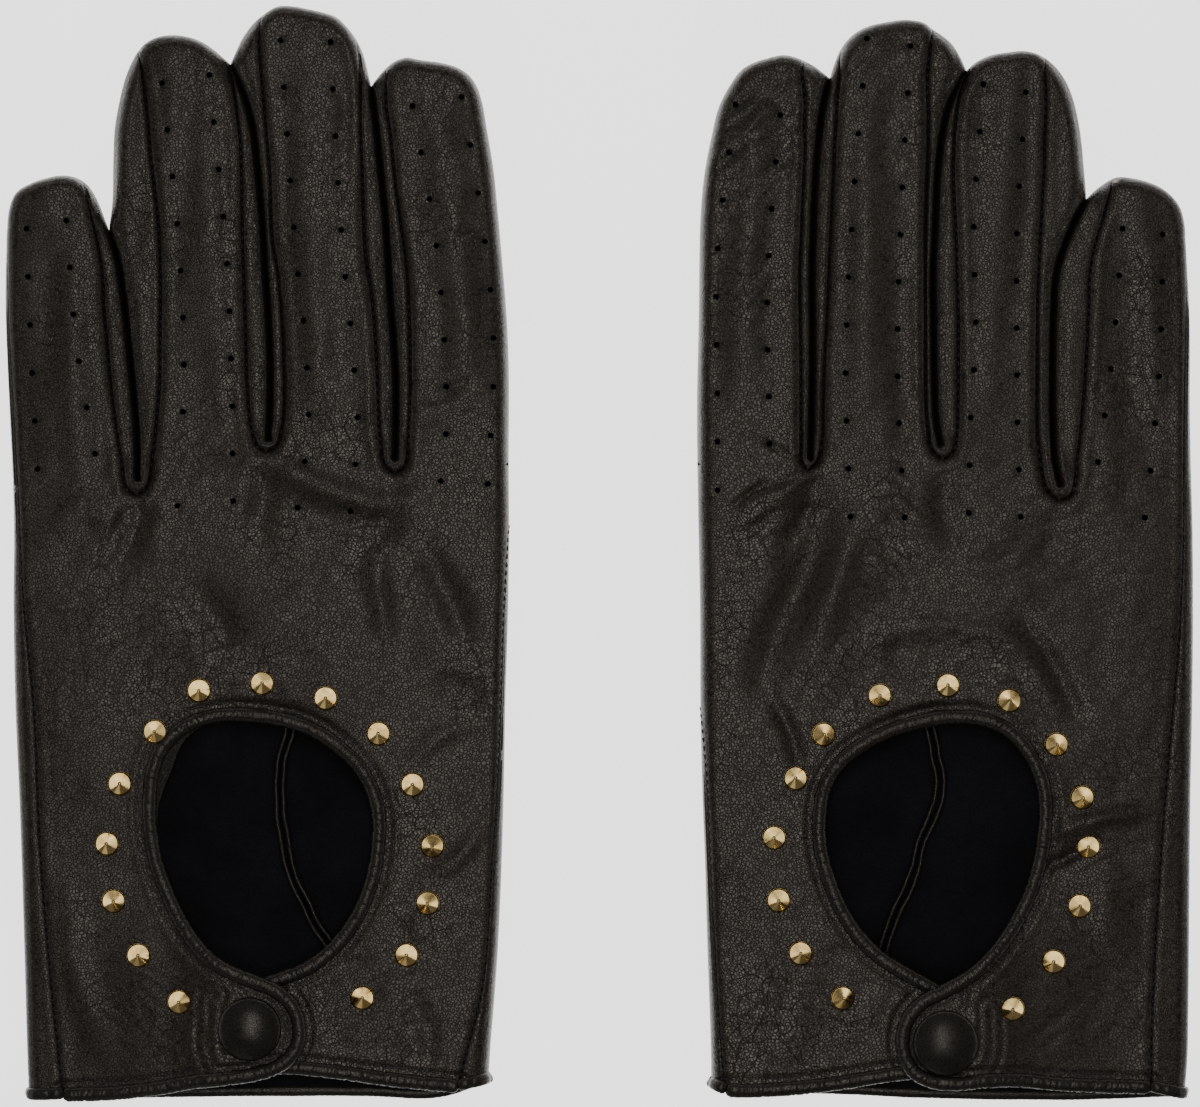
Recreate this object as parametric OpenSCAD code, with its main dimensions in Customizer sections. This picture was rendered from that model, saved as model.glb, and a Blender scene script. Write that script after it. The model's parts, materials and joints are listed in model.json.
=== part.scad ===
// Pair of leather driving gloves, laid flat with the backs up and the thumbs folded under the palms.
// The bottom of the pair's box is centred on the origin: +X across the pair, +Y to the fingertips, +Z up.
// Each glove is drawn as a left hand about its own centre line, and the right hand is its mirror image.

/* [Glove] */
// Length from the longest fingertip to the palm hem
glove_length = 231; // [200:1:280]
// Width across the wrist
wrist_width = 98; // [85:1:115]
// Distance between the centre lines of the two gloves
pair_pitch = 145; // [125:1:220]
// Height of the flattened hand, up to the face of the back
hand_height = 11.5; // [10:0.1:16]
// Height of a flattened finger
finger_height = 10; // [7:0.1:13]
// Thickness of the glove leather
leather = 0.9; // [0.6:0.05:1.2]
// How far the back's hem stands short of the palm's hem
back_hem_rise = 6; // [2:0.5:12]

/* [Fingers: pinky, ring, middle, index] */
// Length from the root to the tip
finger_length = [66.2, 86.7, 93.2, 85.7]; // [50:0.1:115]
// Width at the root
finger_root_width = [26.3, 26.8, 25.7, 22.4]; // [18:0.1:35]
// Width where the rounded tip starts
finger_tip_width = [22.1, 27.8, 26.1, 22.4]; // [16:0.1:35]
// How far the root lies below the root of the middle finger
finger_setback = [8.8, 0, 0, 3.7]; // [0:0.1:20]
// Sideways lean of the tip towards the little-finger side
finger_lean = [3.9, 5.1, 4.9, 3.7]; // [0:0.1:8]
// Length of the rounded tip as a multiple of half its width
tip_roundness = 1.4; // [1:0.05:1.8]
// Gap between neighbouring fingers at their roots
finger_gap = 0.9; // [0.8:0.1:3]
// Angle through which a finger can be lifted
lift_angle = 20; // [0:1:30]

/* [Thumb] */
// Height of the thumb, flattened under the palm
thumb_height = 3.2; // [2.4:0.1:5]
// Radius of the thumb's base
thumb_base_radius = 15.5; // [12:0.5:20]
// Radius of the thumb's tip
thumb_tip_radius = 11; // [8:0.5:14]
// Reach of the thumb from the centre of its base to the centre of its tip
thumb_reach = 32; // [24:1:45]
// Turn of the thumb away from the fingers' direction
thumb_angle = 20; // [0:1:40]
// Distance of the thumb's base centre from the palm hem
thumb_base_rise = 69.5; // [60:0.5:90]
// Half width of the hole in the palm that the thumb is sewn into
thumb_hole_radius = 8.5; // [6:0.5:10]
// Straight length of that hole
thumb_hole_length = 22; // [10:1:30]

/* [Keyhole opening] */
// Width of the keyhole opening
keyhole_width = 51; // [36:1:62]
// Height of the keyhole opening
keyhole_height = 57.5; // [40:0.5:72]
// Sideways offset of the opening towards the index side
keyhole_offset = 2.5; // [0:0.5:4]
// Narrowing of the opening towards the wrist
keyhole_taper = 0.13; // [0:0.01:0.2]
// Width of the leather binding that shows around the opening
binding_width = 2.8; // [1.6:0.1:4]
// Thickness of the binding leather
binding_leather = 0.5; // [0.3:0.05:0.8]
// Width of the facing strip inside the opening
facing_width = 4; // [2:0.5:5]

/* [Wrist tab] */
// Width of the tab
tab_width = 18.3; // [15:0.1:24]
// Length of the tab from its fold to its rounded end
tab_length = 21.8; // [19:0.1:30]
// Distance of the tab's fold from the centre line, towards the little-finger side
tab_fold_offset = 11.6; // [10:0.1:14]
// Thickness of the tab, leather and lining together
tab_thickness = 1.5; // [1:0.1:2]
// Width of the slit under the tab
slit_width = 2.4; // [2:0.1:4]

/* [Snap fastener] */
// Radius of the covered cap
cap_radius = 6.65; // [5:0.05:6.8]
// Height of the cap's rim and dome
cap_height = 2.6; // [1.5:0.1:3.5]
// Radius of the socket and of the stud's flange
socket_radius = 5; // [4:0.1:5.5]
// Radius of the stud's nipple
nipple_radius = 1.95; // [1.6:0.05:2.4]
// Radius of the rivet shanks
shank_radius = 1.3; // [1:0.05:1.5]

/* [Cone studs] */
// Number of cone studs around the opening
stud_count = 15; // [9:2:17]
// Radius of a cone stud
stud_radius = 2.55; // [1.8:0.05:3]
// Height of a cone stud
stud_height = 2.4; // [1.2:0.1:3.5]
// Distance of the ring of studs from the edge of the opening
stud_offset = 8.1; // [7.5:0.1:11]
// Angle between neighbouring studs, seen from the middle of the opening
stud_step = 20.3; // [14:0.1:21]

/* [Hidden] */
SIDES = ["left", "right"];
FINGERS = ["pinky", "ring", "middle", "index"];
HAND_PARTS = [
    "back_panel", "palm_panel", "keyhole_binding", "keyhole_facing", "wrist_binding", "palm_hem",
    "snap_stud", "snap_post", "cone_studs", "stud_backs"
];
TAB_PARTS = ["strap_tab", "tab_binding", "snap_cap", "snap_socket"];
THUMB_PARTS = ["thumb_front", "thumb_back"];
FINGER_PARTS = ["back", "palm", "fourchettes"];
NODES = concat(
    [for (side = SIDES, part = concat(HAND_PARTS, TAB_PARTS, THUMB_PARTS)) str(side, "_", part)],
    [for (side = SIDES, finger = FINGERS, part = FINGER_PARTS) str(side, "_", finger, "_", part)]
);
node = "all";
$fn = 48;

GLOVE_BLACK = "#221f1c";
BINDING_BLACK = "#2b2825";
SUEDE_BLACK = "#0d0e12";
STUD_GOLD = "#d3ac5c";
SNAP_BRASS = "#8f7440";

PINKY = 0;
INDEX = 3;
PINKY_SIDE = -1;
INDEX_SIDE = 1;
EPS = 0.01;

// Clearances between pieces that move against each other
root_clearance = 0.3;
fold_clearance = 0.3;
thumb_clearance = 0.4;
rivet_clearance = 0.05;
snap_clearance = 0.25;
trim_clearance = 0.2;

// Small fittings
stud_shank_radius = 0.6;
stud_rim = 0.3;
stud_point_radius = 0.5;
stud_back_radius = 1.5;
post_flange_step = 1;
tab_hem_rise = 1.2;
fold_rise = 1;

// Heights
back_top = hand_height;
back_bottom = back_top - leather;
palm_rise = thumb_height + thumb_clearance;
finger_back_bottom = finger_height - leather;
lift_gap = root_clearance + finger_height * tan(lift_angle);
socket_height = 1.4;
flange_height = 0.5;
socket_bottom = back_top + flange_height + rivet_clearance * 2;
tab_bottom = socket_bottom + socket_height;
tab_top = tab_bottom + tab_thickness;

// Places along the glove
palm_hem_y = -glove_length / 2;
back_hem_y = palm_hem_y + back_hem_rise;
middle_root_y = glove_length / 2 - finger_length[2];
root_y = [for (setback = finger_setback) middle_root_y - setback];
palm_flat_y = min(root_y);
palm_slope = 14;

tab_low_y = back_hem_y + tab_hem_rise;
tab_mid_y = tab_low_y + tab_width / 2;
keyhole_low_y = tab_low_y + tab_width;
keyhole_mid_y = keyhole_low_y + keyhole_height / 2;
thumb_base_y = palm_hem_y + thumb_base_rise;
thumb_low_y = thumb_base_y - thumb_base_radius;

// Widths and places across the hand
knuckle_width = total(finger_root_width) + finger_gap * (len(FINGERS) - 1);
slit_left = -tab_fold_offset;
slit_right = slit_left + slit_width;

// The tab's root turns about a line above the slit's near edge, and its low corner clears the far edge
root_sweep = sqrt(
    pow(slit_width - rivet_clearance, 2) + pow(fold_rise, 2) - pow(fold_rise + leather, 2)
);
tab_root_width = root_sweep - fold_clearance;

thumb_fold_x = half_width(thumb_low_y);
thumb_base = [thumb_fold_x - thumb_base_radius - fold_clearance, thumb_base_y];
thumb_tip = thumb_base + thumb_reach * [-sin(thumb_angle), cos(thumb_angle)];

function total(list, last = undef) =
    let (end = is_undef(last) ? len(list) : last)
    end == 0 ? 0 : list[end - 1] + total(list, end - 1);

function reversed(list) = [for (i = [len(list) - 1:-1:0]) list[i]];

function half_width(y) =
    (wrist_width + (knuckle_width - wrist_width) * (y - palm_hem_y) / (middle_root_y - palm_hem_y)) / 2;

// Fingers: a local y of zero is the finger's root

function root_left(i) = -knuckle_width / 2 + total(finger_root_width, i) + finger_gap * i;

function root_centre(i) = root_left(i) + finger_root_width[i] / 2;

function tip_round(i) = tip_roundness * finger_tip_width[i] / 2;

function shoulder(i) = finger_length[i] - tip_round(i);

function side_point(i, side, inset, y) =
    let (share = y / shoulder(i))
    let (half = finger_root_width[i] / 2 * (1 - share) + finger_tip_width[i] / 2 * share)
    [root_centre(i) - finger_lean[i] * share + side * (half - inset), root_y[i] + y];

function tip_point(i, side, inset, angle) =
    let (rise = (tip_round(i) - inset) * sin(angle))
    let (half = (finger_tip_width[i] / 2 - inset) * cos(angle))
    [
        root_centre(i) - finger_lean[i] * (1 + rise / shoulder(i)) + side * half,
        root_y[i] + shoulder(i) + rise
    ];

function tip_arc(i, inset) = concat(
    [for (angle = [0:9:90]) tip_point(i, INDEX_SIDE, inset, angle)],
    [for (angle = [81:-9:0]) tip_point(i, PINKY_SIDE, inset, angle)]
);

function finger_outline(i, start) = concat(
    [side_point(i, INDEX_SIDE, 0, start)],
    tip_arc(i, 0),
    [side_point(i, PINKY_SIDE, 0, start)]
);

module finger_plate(i, z, start)
    translate([0, 0, z]) linear_extrude(leather) polygon(finger_outline(i, start));

module finger_wall(points)
    translate([0, 0, leather]) linear_extrude(finger_height - 2 * leather) polygon(points);

module finger_side_wall(i, side)
    finger_wall([
        side_point(i, side, 0, lift_gap),
        side_point(i, side, 0, shoulder(i)),
        side_point(i, side, leather, shoulder(i)),
        side_point(i, side, leather, lift_gap)
    ]);

module finger_back(i) color(GLOVE_BLACK) {
    finger_plate(i, finger_back_bottom, lift_gap);
    finger_wall(concat(tip_arc(i, 0), reversed(tip_arc(i, leather))));
}

module finger_palm(i) color(GLOVE_BLACK) {
    finger_plate(i, 0, root_clearance);
    if (i == PINKY) finger_side_wall(i, PINKY_SIDE);
    if (i == INDEX) finger_side_wall(i, INDEX_SIDE);
}

module finger_fourchettes(i) color(GLOVE_BLACK) {
    if (i != PINKY) finger_side_wall(i, PINKY_SIDE);
    if (i != INDEX) finger_side_wall(i, INDEX_SIDE);
}

// Hand: the outline steps round the finger roots, short of them by the root clearance

function hand_outline(low_y) = concat(
    [[-half_width(low_y), low_y]],
    [for (i = [PINKY:INDEX], side = [PINKY_SIDE, INDEX_SIDE])
        let (outer = side == PINKY_SIDE ? i == PINKY : i == INDEX)
        let (half = (finger_root_width[i] + finger_gap) / 2)
        [
            outer ? side * half_width(root_y[i]) : root_centre(i) + side * half,
            root_y[i] - root_clearance
        ]],
    [[half_width(low_y), low_y]]
);

function side_band(side, low_y, high_y) = [
    [side * half_width(low_y), low_y],
    [side * half_width(high_y), high_y],
    [side * (half_width(high_y) - leather), high_y],
    [side * (half_width(low_y) - leather), low_y]
];

// The palm's underside, seen from the side: low at the hem and the knuckles, raised over the thumb
palm_profile = [
    [palm_hem_y, binding_leather],
    [thumb_low_y - palm_slope, palm_rise],
    [palm_flat_y - palm_slope, palm_rise],
    [palm_flat_y, 0],
    [middle_root_y, 0]
];

module across_hand(points)
    translate([-glove_length / 2, 0, 0])
        rotate([90, 0, 90]) linear_extrude(glove_length) polygon(points);

module palm_sheet() {
    top = [for (point = palm_profile) [point[0], point[1] + leather]];
    intersection() {
        across_hand(concat(palm_profile, reversed(top)));
        linear_extrude(back_bottom) polygon(hand_outline(palm_hem_y));
    }
}

module below_palm() {
    floor_points = [[middle_root_y, -back_top], [palm_hem_y, -back_top]];
    across_hand(concat(palm_profile, floor_points));
}

module palm_panel() color(GLOVE_BLACK) difference() {
    union() {
        palm_sheet();
        for (side = [PINKY_SIDE, INDEX_SIDE]) {
            end_y = root_y[side == PINKY_SIDE ? PINKY : INDEX] - root_clearance;
            linear_extrude(back_bottom) polygon(side_band(side, palm_hem_y, end_y));
        }
    }
    below_palm();
    linear_extrude(back_bottom) thumb_hole();
}

// Opening in the back: an egg that narrows towards the wrist, and a slit from it to the hem

function egg(grow, angle) =
    let (wide = keyhole_width / 2 + grow, high = keyhole_height / 2 + grow)
    [
        keyhole_offset + wide * sin(angle) * (1 + keyhole_taper * cos(angle)),
        keyhole_mid_y + high * cos(angle)
    ];

module egg_area(grow) polygon([for (angle = [0:6:354]) egg(grow, angle)]);

module slit_area(widen)
    translate([slit_left - widen, back_hem_y - 1])
        square([slit_width + 2 * widen, keyhole_mid_y - back_hem_y]);

module egg_ring(inner, outer, low, high)
    translate([0, 0, low]) linear_extrude(high - low) difference() {
        egg_area(outer);
        egg_area(inner);
        slit_area(trim_clearance);
    }

function stud_angle(k) = (k - (stud_count - 1) / 2) * stud_step;

function stud_point(k) =
    let (wide = keyhole_width / 2 + stud_offset, high = keyhole_height / 2 + stud_offset)
    [keyhole_offset + wide * sin(stud_angle(k)), keyhole_mid_y + high * cos(stud_angle(k))];

module at_studs() for (k = [0:stud_count - 1]) translate(stud_point(k)) children();

module back_panel() color(GLOVE_BLACK)
    translate([0, 0, back_bottom]) difference() {
        linear_extrude(leather) difference() {
            polygon(hand_outline(back_hem_y + binding_leather));
            egg_area(0);
            slit_area(0);
        }
        at_studs() drill(stud_shank_radius + rivet_clearance);
        translate([0, tab_mid_y]) drill(shank_radius + rivet_clearance);
    }

module drill(radius) translate([0, 0, -leather]) cylinder(h = 3 * leather, r = radius);

module keyhole_binding() color(BINDING_BLACK) {
    flange = binding_width - binding_leather;
    low = back_bottom - binding_leather;
    high = back_top + binding_leather;
    egg_ring(-binding_leather, 0, low, high);
    egg_ring(0, flange, back_top, high);
    egg_ring(0, flange, low, back_bottom);
}

// The facing is cut away round the stud backs and the snap's post
module keyhole_facing() color(SUEDE_BLACK) {
    start = binding_width - binding_leather + trim_clearance;
    difference() {
        egg_ring(start, start + facing_width, back_bottom - binding_leather, back_bottom);
        at_studs() translate([0, 0, back_bottom]) drill(stud_back_radius + trim_clearance);
        at_snap(back_bottom) drill(socket_radius - post_flange_step + trim_clearance);
    }
}

// A folded strip along a straight hem, round the edge of a sheet
module hem_strip(from_x, to_x, hem_y, sheet_bottom) {
    low = sheet_bottom - binding_leather;
    tall = leather + 2 * binding_leather;
    length = to_x - from_x;
    translate([from_x, hem_y, low]) cube([length, binding_leather, tall]);
    for (z = [low, sheet_bottom + leather])
        translate([from_x, hem_y, z]) cube([length, binding_width, binding_leather]);
}

module wrist_binding() color(BINDING_BLACK) {
    reach = half_width(back_hem_y) - leather - trim_clearance;
    hem_strip(-reach, slit_left - trim_clearance, back_hem_y, back_bottom);
    hem_strip(slit_right + trim_clearance, reach, back_hem_y, back_bottom);
}

// The palm hem lies flat on the surface under the end of the palm
module palm_hem() color(BINDING_BLACK) {
    reach = half_width(palm_hem_y) - leather - trim_clearance;
    translate([-reach, palm_hem_y, 0]) cube([2 * reach, binding_width, binding_leather - EPS]);
}

// Wrist tab: a root that fills the slit and turns at its edge, and a plate over the underlap

module tab_area(inset) {
    half = tab_width / 2 - inset;
    root_x = slit_left + fold_clearance;
    round_x = slit_left + tab_length - tab_width / 2;
    intersection() {
        union() {
            translate([root_x, tab_mid_y - half]) square([round_x - root_x, 2 * half]);
            translate([round_x, tab_mid_y]) circle(r = half);
        }
        translate([root_x, tab_mid_y - half]) square([tab_length, 2 * half]);
    }
}

module tab_root()
    translate([slit_left + fold_clearance, tab_mid_y - tab_width / 2 + binding_width, back_bottom])
        cube([tab_root_width, tab_width - 2 * binding_width, tab_bottom - back_bottom]);

module strap_tab() color(GLOVE_BLACK) difference() {
    union() {
        tab_root();
        translate([0, 0, tab_bottom]) linear_extrude(tab_thickness) tab_area(binding_leather);
    }
    translate([0, tab_mid_y, tab_bottom]) drill(shank_radius + rivet_clearance);
}

module tab_rim(inner, low, high)
    translate([0, 0, low]) linear_extrude(high - low) difference() {
        tab_area(0);
        translate([-EPS, 0]) tab_area(inner);
        tab_area(inner);
    }

module tab_binding() color(BINDING_BLACK) {
    tab_flange = min(
        binding_width - binding_leather, tab_width / 2 - cap_radius - trim_clearance
    );
    tab_rim(binding_leather, tab_bottom - binding_leather, tab_top + binding_leather);
    difference() {
        union() {
            tab_rim(tab_flange, tab_top, tab_top + binding_leather);
            tab_rim(tab_flange, tab_bottom - binding_leather, tab_bottom);
        }
        tab_root_space();
    }
}

module tab_root_space()
    translate([slit_left, tab_mid_y - tab_width / 2 + binding_leather, back_bottom])
        cube([slit_width, tab_width - 2 * binding_leather, tab_bottom - back_bottom]);

// Snap fastener: cap and socket on the tab, stud and post on the underlap

module at_snap(z) translate([0, tab_mid_y, z]) children();

module snap_cap() color(GLOVE_BLACK) {
    rim = cap_height / 3;
    dome = cap_height - rim;
    dome_radius = (pow(cap_radius, 2) + pow(dome, 2)) / (2 * dome);
    at_snap(tab_top) intersection() {
        cylinder(h = cap_height, r = cap_radius);
        translate([0, 0, cap_height - dome_radius]) sphere(r = dome_radius);
    }
    at_snap(tab_bottom) cylinder(h = tab_thickness + rim / 2, r = shank_radius);
}

module snap_socket() color(SNAP_BRASS) at_snap(socket_bottom) difference() {
    cylinder(h = socket_height, r = socket_radius);
    translate([0, 0, -EPS])
        cylinder(h = socket_height - flange_height, r = nipple_radius + snap_clearance);
}

module snap_stud() color(SNAP_BRASS) at_snap(back_top) difference() {
    union() {
        cylinder(h = flange_height, r = socket_radius);
        cylinder(h = flange_height + socket_height / 2, r = nipple_radius);
    }
    translate([0, 0, -EPS])
        cylinder(h = flange_height + rivet_clearance, r = shank_radius + rivet_clearance);
}

module snap_post() color(SNAP_BRASS) at_snap(back_bottom) {
    translate([0, 0, -flange_height]) cylinder(h = flange_height, r = socket_radius - post_flange_step);
    cylinder(h = leather + flange_height, r = shank_radius);
}

// Cone studs, with a shank through the leather and a clinched back under it

module cone_studs() color(STUD_GOLD) at_studs() {
    translate([0, 0, back_top]) cylinder(h = stud_rim, r = stud_radius);
    translate([0, 0, back_top + stud_rim])
        cylinder(h = stud_height - stud_rim, r1 = stud_radius, r2 = stud_point_radius);
    translate([0, 0, back_bottom - flange_height])
        cylinder(h = leather + flange_height, r = stud_shank_radius);
}

module stud_backs() color(SNAP_BRASS) at_studs()
    translate([0, 0, back_bottom - flange_height]) difference() {
        cylinder(h = flange_height, r = stud_back_radius);
        translate([0, 0, -EPS])
            cylinder(h = flange_height + 2 * EPS, r = stud_shank_radius + rivet_clearance);
    }

// Thumb: folded under the palm along a line at the index side of the hand

// Outline of two circles and the straight sides that touch both
function two_circles(a, radius_a, b, radius_b) =
    let (apart = norm(b - a))
    let (along = atan2(b[1] - a[1], b[0] - a[0]))
    let (swing = acos((radius_a - radius_b) / apart))
    concat(
        [for (k = [0:12]) let (t = along + swing + (360 - 2 * swing) * k / 12)
            a + radius_a * [cos(t), sin(t)]],
        [for (k = [0:10]) let (t = along - swing + 2 * swing * k / 10)
            b + radius_b * [cos(t), sin(t)]]
    );

module thumb_area(inset)
    polygon(two_circles(
        thumb_base, thumb_base_radius - inset, thumb_tip, thumb_tip_radius - inset
    ));

module thumb_hole() {
    low = thumb_base + [0, -thumb_hole_length / 3];
    polygon(two_circles(low, thumb_hole_radius, low + [0, thumb_hole_length], thumb_hole_radius));
}

module thumb_front() color(GLOVE_BLACK) {
    linear_extrude(leather) thumb_area(0);
    translate([0, 0, leather]) linear_extrude(thumb_height - leather) difference() {
        thumb_area(0);
        thumb_area(leather);
    }
}

module thumb_back() color(GLOVE_BLACK) {
    start_y = thumb_base[1] + thumb_hole_length * 2 / 3;
    translate([0, 0, thumb_height - leather]) linear_extrude(leather) difference() {
        thumb_area(leather);
        translate([0, start_y - glove_length]) square([glove_length, glove_length]);
    }
}

// One glove, drawn about its own centre line

function wanted(name) = node == "all" || node == name;

module glove(side) {
    if (wanted(str(side, "_back_panel"))) back_panel();
    if (wanted(str(side, "_palm_panel"))) palm_panel();
    if (wanted(str(side, "_keyhole_binding"))) keyhole_binding();
    if (wanted(str(side, "_keyhole_facing"))) keyhole_facing();
    if (wanted(str(side, "_wrist_binding"))) wrist_binding();
    if (wanted(str(side, "_palm_hem"))) palm_hem();
    if (wanted(str(side, "_snap_stud"))) snap_stud();
    if (wanted(str(side, "_snap_post"))) snap_post();
    if (wanted(str(side, "_cone_studs"))) cone_studs();
    if (wanted(str(side, "_stud_backs"))) stud_backs();
    if (wanted(str(side, "_strap_tab"))) strap_tab();
    if (wanted(str(side, "_tab_binding"))) tab_binding();
    if (wanted(str(side, "_snap_cap"))) snap_cap();
    if (wanted(str(side, "_snap_socket"))) snap_socket();
    if (wanted(str(side, "_thumb_front"))) thumb_front();
    if (wanted(str(side, "_thumb_back"))) thumb_back();
    for (i = [PINKY:INDEX]) {
        if (wanted(str(side, "_", FINGERS[i], "_back"))) finger_back(i);
        if (wanted(str(side, "_", FINGERS[i], "_palm"))) finger_palm(i);
        if (wanted(str(side, "_", FINGERS[i], "_fourchettes"))) finger_fourchettes(i);
    }
}

translate([-pair_pitch / 2, 0, 0]) glove("left");
translate([pair_pitch / 2, 0, 0]) mirror([1, 0, 0]) glove("right");
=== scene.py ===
"""Pair of black leather driving gloves, laid flat with the backs up.

Each glove is cut as its real pattern pieces: a back with four finger backs, fourchettes between the
fingers, a palm that wraps up to the side seams, a bound keyhole, a wrist tab with a covered snap,
cone studs and a thumb folded under the palm. Plans are in millimetres in the pair's own frame.
"""

import json
import logging
import math
from dataclasses import dataclass, field
from enum import Enum
from typing import Callable, Sequence

import bpy
import numpy as np
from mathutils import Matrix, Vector
from mathutils.geometry import delaunay_2d_cdt
from mathutils.kdtree import KDTree

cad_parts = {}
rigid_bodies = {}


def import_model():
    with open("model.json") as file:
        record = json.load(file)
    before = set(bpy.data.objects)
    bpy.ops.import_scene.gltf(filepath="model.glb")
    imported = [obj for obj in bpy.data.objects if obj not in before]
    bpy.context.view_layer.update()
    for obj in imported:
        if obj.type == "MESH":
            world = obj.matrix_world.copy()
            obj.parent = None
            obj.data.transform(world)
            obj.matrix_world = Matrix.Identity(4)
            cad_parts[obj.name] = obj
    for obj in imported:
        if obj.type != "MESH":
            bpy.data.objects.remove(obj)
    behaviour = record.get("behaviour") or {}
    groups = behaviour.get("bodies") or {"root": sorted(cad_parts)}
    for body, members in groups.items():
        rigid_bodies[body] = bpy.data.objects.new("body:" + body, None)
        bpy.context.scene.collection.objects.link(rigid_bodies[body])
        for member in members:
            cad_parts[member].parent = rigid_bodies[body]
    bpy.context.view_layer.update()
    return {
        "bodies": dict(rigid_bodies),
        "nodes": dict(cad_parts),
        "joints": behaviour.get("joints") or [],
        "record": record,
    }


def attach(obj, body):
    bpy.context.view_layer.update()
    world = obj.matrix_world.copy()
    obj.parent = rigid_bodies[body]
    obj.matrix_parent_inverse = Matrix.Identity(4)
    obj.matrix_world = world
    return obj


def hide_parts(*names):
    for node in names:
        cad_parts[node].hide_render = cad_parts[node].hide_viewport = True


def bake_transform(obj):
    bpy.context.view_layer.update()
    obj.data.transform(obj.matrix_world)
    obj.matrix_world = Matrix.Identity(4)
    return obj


MM = 0.001
log = logging.getLogger("gloves")

Point = tuple[float, float]
Path = Sequence[Point]
Array = np.ndarray


# ---------------------------------------------------------------- lines on the plan


def resampled(line: Array, step: float) -> Array:
    """Space the points of a line evenly.

    Args:
        line: Points, one row each, in two or three dimensions.
        step: Wanted spacing in millimetres.

    Returns:
        The evenly spaced points, with both ends kept.
    """
    length = np.concatenate([[0], np.cumsum(np.linalg.norm(np.diff(line, axis=0), axis=1))])
    count = max(2, int(round(length[-1] / step)) + 1)
    stations = np.linspace(0, length[-1], count)
    return np.stack([np.interp(stations, length, axis) for axis in line.T], axis=1)


def drawn(points: Path, step: float = 0.8) -> Array:
    """Draw a smooth curve through given points.

    Args:
        points: Points that the curve passes through.
        step: Spacing of the result in millimetres.

    Returns:
        Evenly spaced points on the curve.
    """
    knots = np.asarray(points, float)
    if len(knots) < 3:
        return resampled(knots, step)
    gap = np.linalg.norm(np.diff(knots, axis=0), axis=1)[:, None]
    slope = np.diff(knots, axis=0) / gap
    inner = (slope[:-1] * gap[1:] + slope[1:] * gap[:-1]) / (gap[1:] + gap[:-1])
    tangent = np.vstack([slope[:1], inner, slope[-1:]])
    t = np.linspace(0, 1, 17)[:-1, None]
    spans = [
        (2 * t**3 - 3 * t**2 + 1) * a + (t**3 - 2 * t**2 + t) * h * m
        + (3 * t**2 - 2 * t**3) * b + (t**3 - t**2) * h * n
        for a, b, m, n, h in zip(knots, knots[1:], tangent, tangent[1:], gap)
    ]
    return resampled(np.vstack(spans + [knots[-1:]]), step)


def nearest_index(line: Array, point: Point) -> int:
    """Index of the line's point nearest to a given point."""
    return int(np.argmin(np.linalg.norm(line[:, :2] - np.asarray(point), axis=1)))


def at_height(line: Array, y: float) -> tuple[Array, Array, Array]:
    """Split a line where it first crosses a height on the plan.

    Args:
        line: Points of the line.
        y: Height on the plan to split at.

    Returns:
        The part before, the part after, and the crossing point, which ends one and starts the other.
    """
    above = line[:, 1] > y
    k = int(np.argmax(above[1:] != above[:-1]))
    a, b = line[k], line[k + 1]
    cross = a + (b - a) * (y - a[1]) / (b[1] - a[1])
    return np.vstack([line[: k + 1], cross]), np.vstack([cross, line[k + 1 :]]), cross


def beside(line: Array, distance: float) -> Array:
    """Draw a line that runs beside another one on the plan.

    Args:
        line: Points of the first line.
        distance: How far to its left, in millimetres; negative for its right.

    Returns:
        Points of the second line, one for each of the first.
    """
    along = np.gradient(line[:, :2], axis=0)
    along /= np.linalg.norm(along, axis=1)[:, None] + 1e-9
    return line[:, :2] + distance * np.stack([-along[:, 1], along[:, 0]], axis=1)


class Track:
    """A line on the plan that can say how far any point is from it."""

    def __init__(self, *lines: Array) -> None:
        """Index the lines' points for searching.

        Args:
            *lines: One or more lines, as points.
        """
        fine = [resampled(line[:, :2], 0.3) for line in lines]
        self.points = np.vstack(fine)
        self.along = np.concatenate([np.linspace(0, 1, len(line)) for line in fine])
        self.last = np.cumsum([len(line) for line in fine]) - 1
        self.tree = KDTree(len(self.points))
        for k, (x, y) in enumerate(self.points.tolist()):
            self.tree.insert((x, y, 0), k)
        self.tree.balance()

    def near(self, plan: Array) -> tuple[Array, Array]:
        """Find the place on the line nearest to each point.

        Args:
            plan: Points on the plan, in millimetres.

        Returns:
            Distance of each point from the line, and how far along it the nearest place is, from 0 to 1.
        """
        k = np.array([self.tree.find((x, y, 0))[1] for x, y in plan.tolist()], int)
        best = np.linalg.norm(plan - self.points[k], axis=1)
        for step in (-1, 1):
            other = np.clip(k + step, 0, len(self.points) - 1)
            a, b = self.points[k], self.points[other]
            edge = b - a
            size = (edge**2).sum(1)
            usable = (size > 1e-9) & (size < 0.4)
            t = np.clip(((plan - a) * edge).sum(1) / np.where(size > 0, size, 1), 0, 1)
            gap = np.linalg.norm(plan - a - edge * t[:, None], axis=1)
            best = np.where(usable, np.minimum(best, gap), best)
        return best, self.along[k]

    def away(self, plan: Array) -> Array:
        """Distance of each point from the line."""
        return self.near(plan)[0]


# ---------------------------------------------------------------- shaping functions


def ease(low: float, high: float, value: Array) -> Array:
    """Smooth step from 0 at low to 1 at high."""
    t = np.clip((value - low) / (high - low), 0, 1)
    return t * t * (3 - 2 * t)


def bulge(t: Array) -> Array:
    """Rounded shoulder that climbs from 0 at an edge, first steeply, to 1."""
    return (1 - (1 - np.clip(t, 0, 1)) ** 2.6) ** (1 / 2.2)


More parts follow.
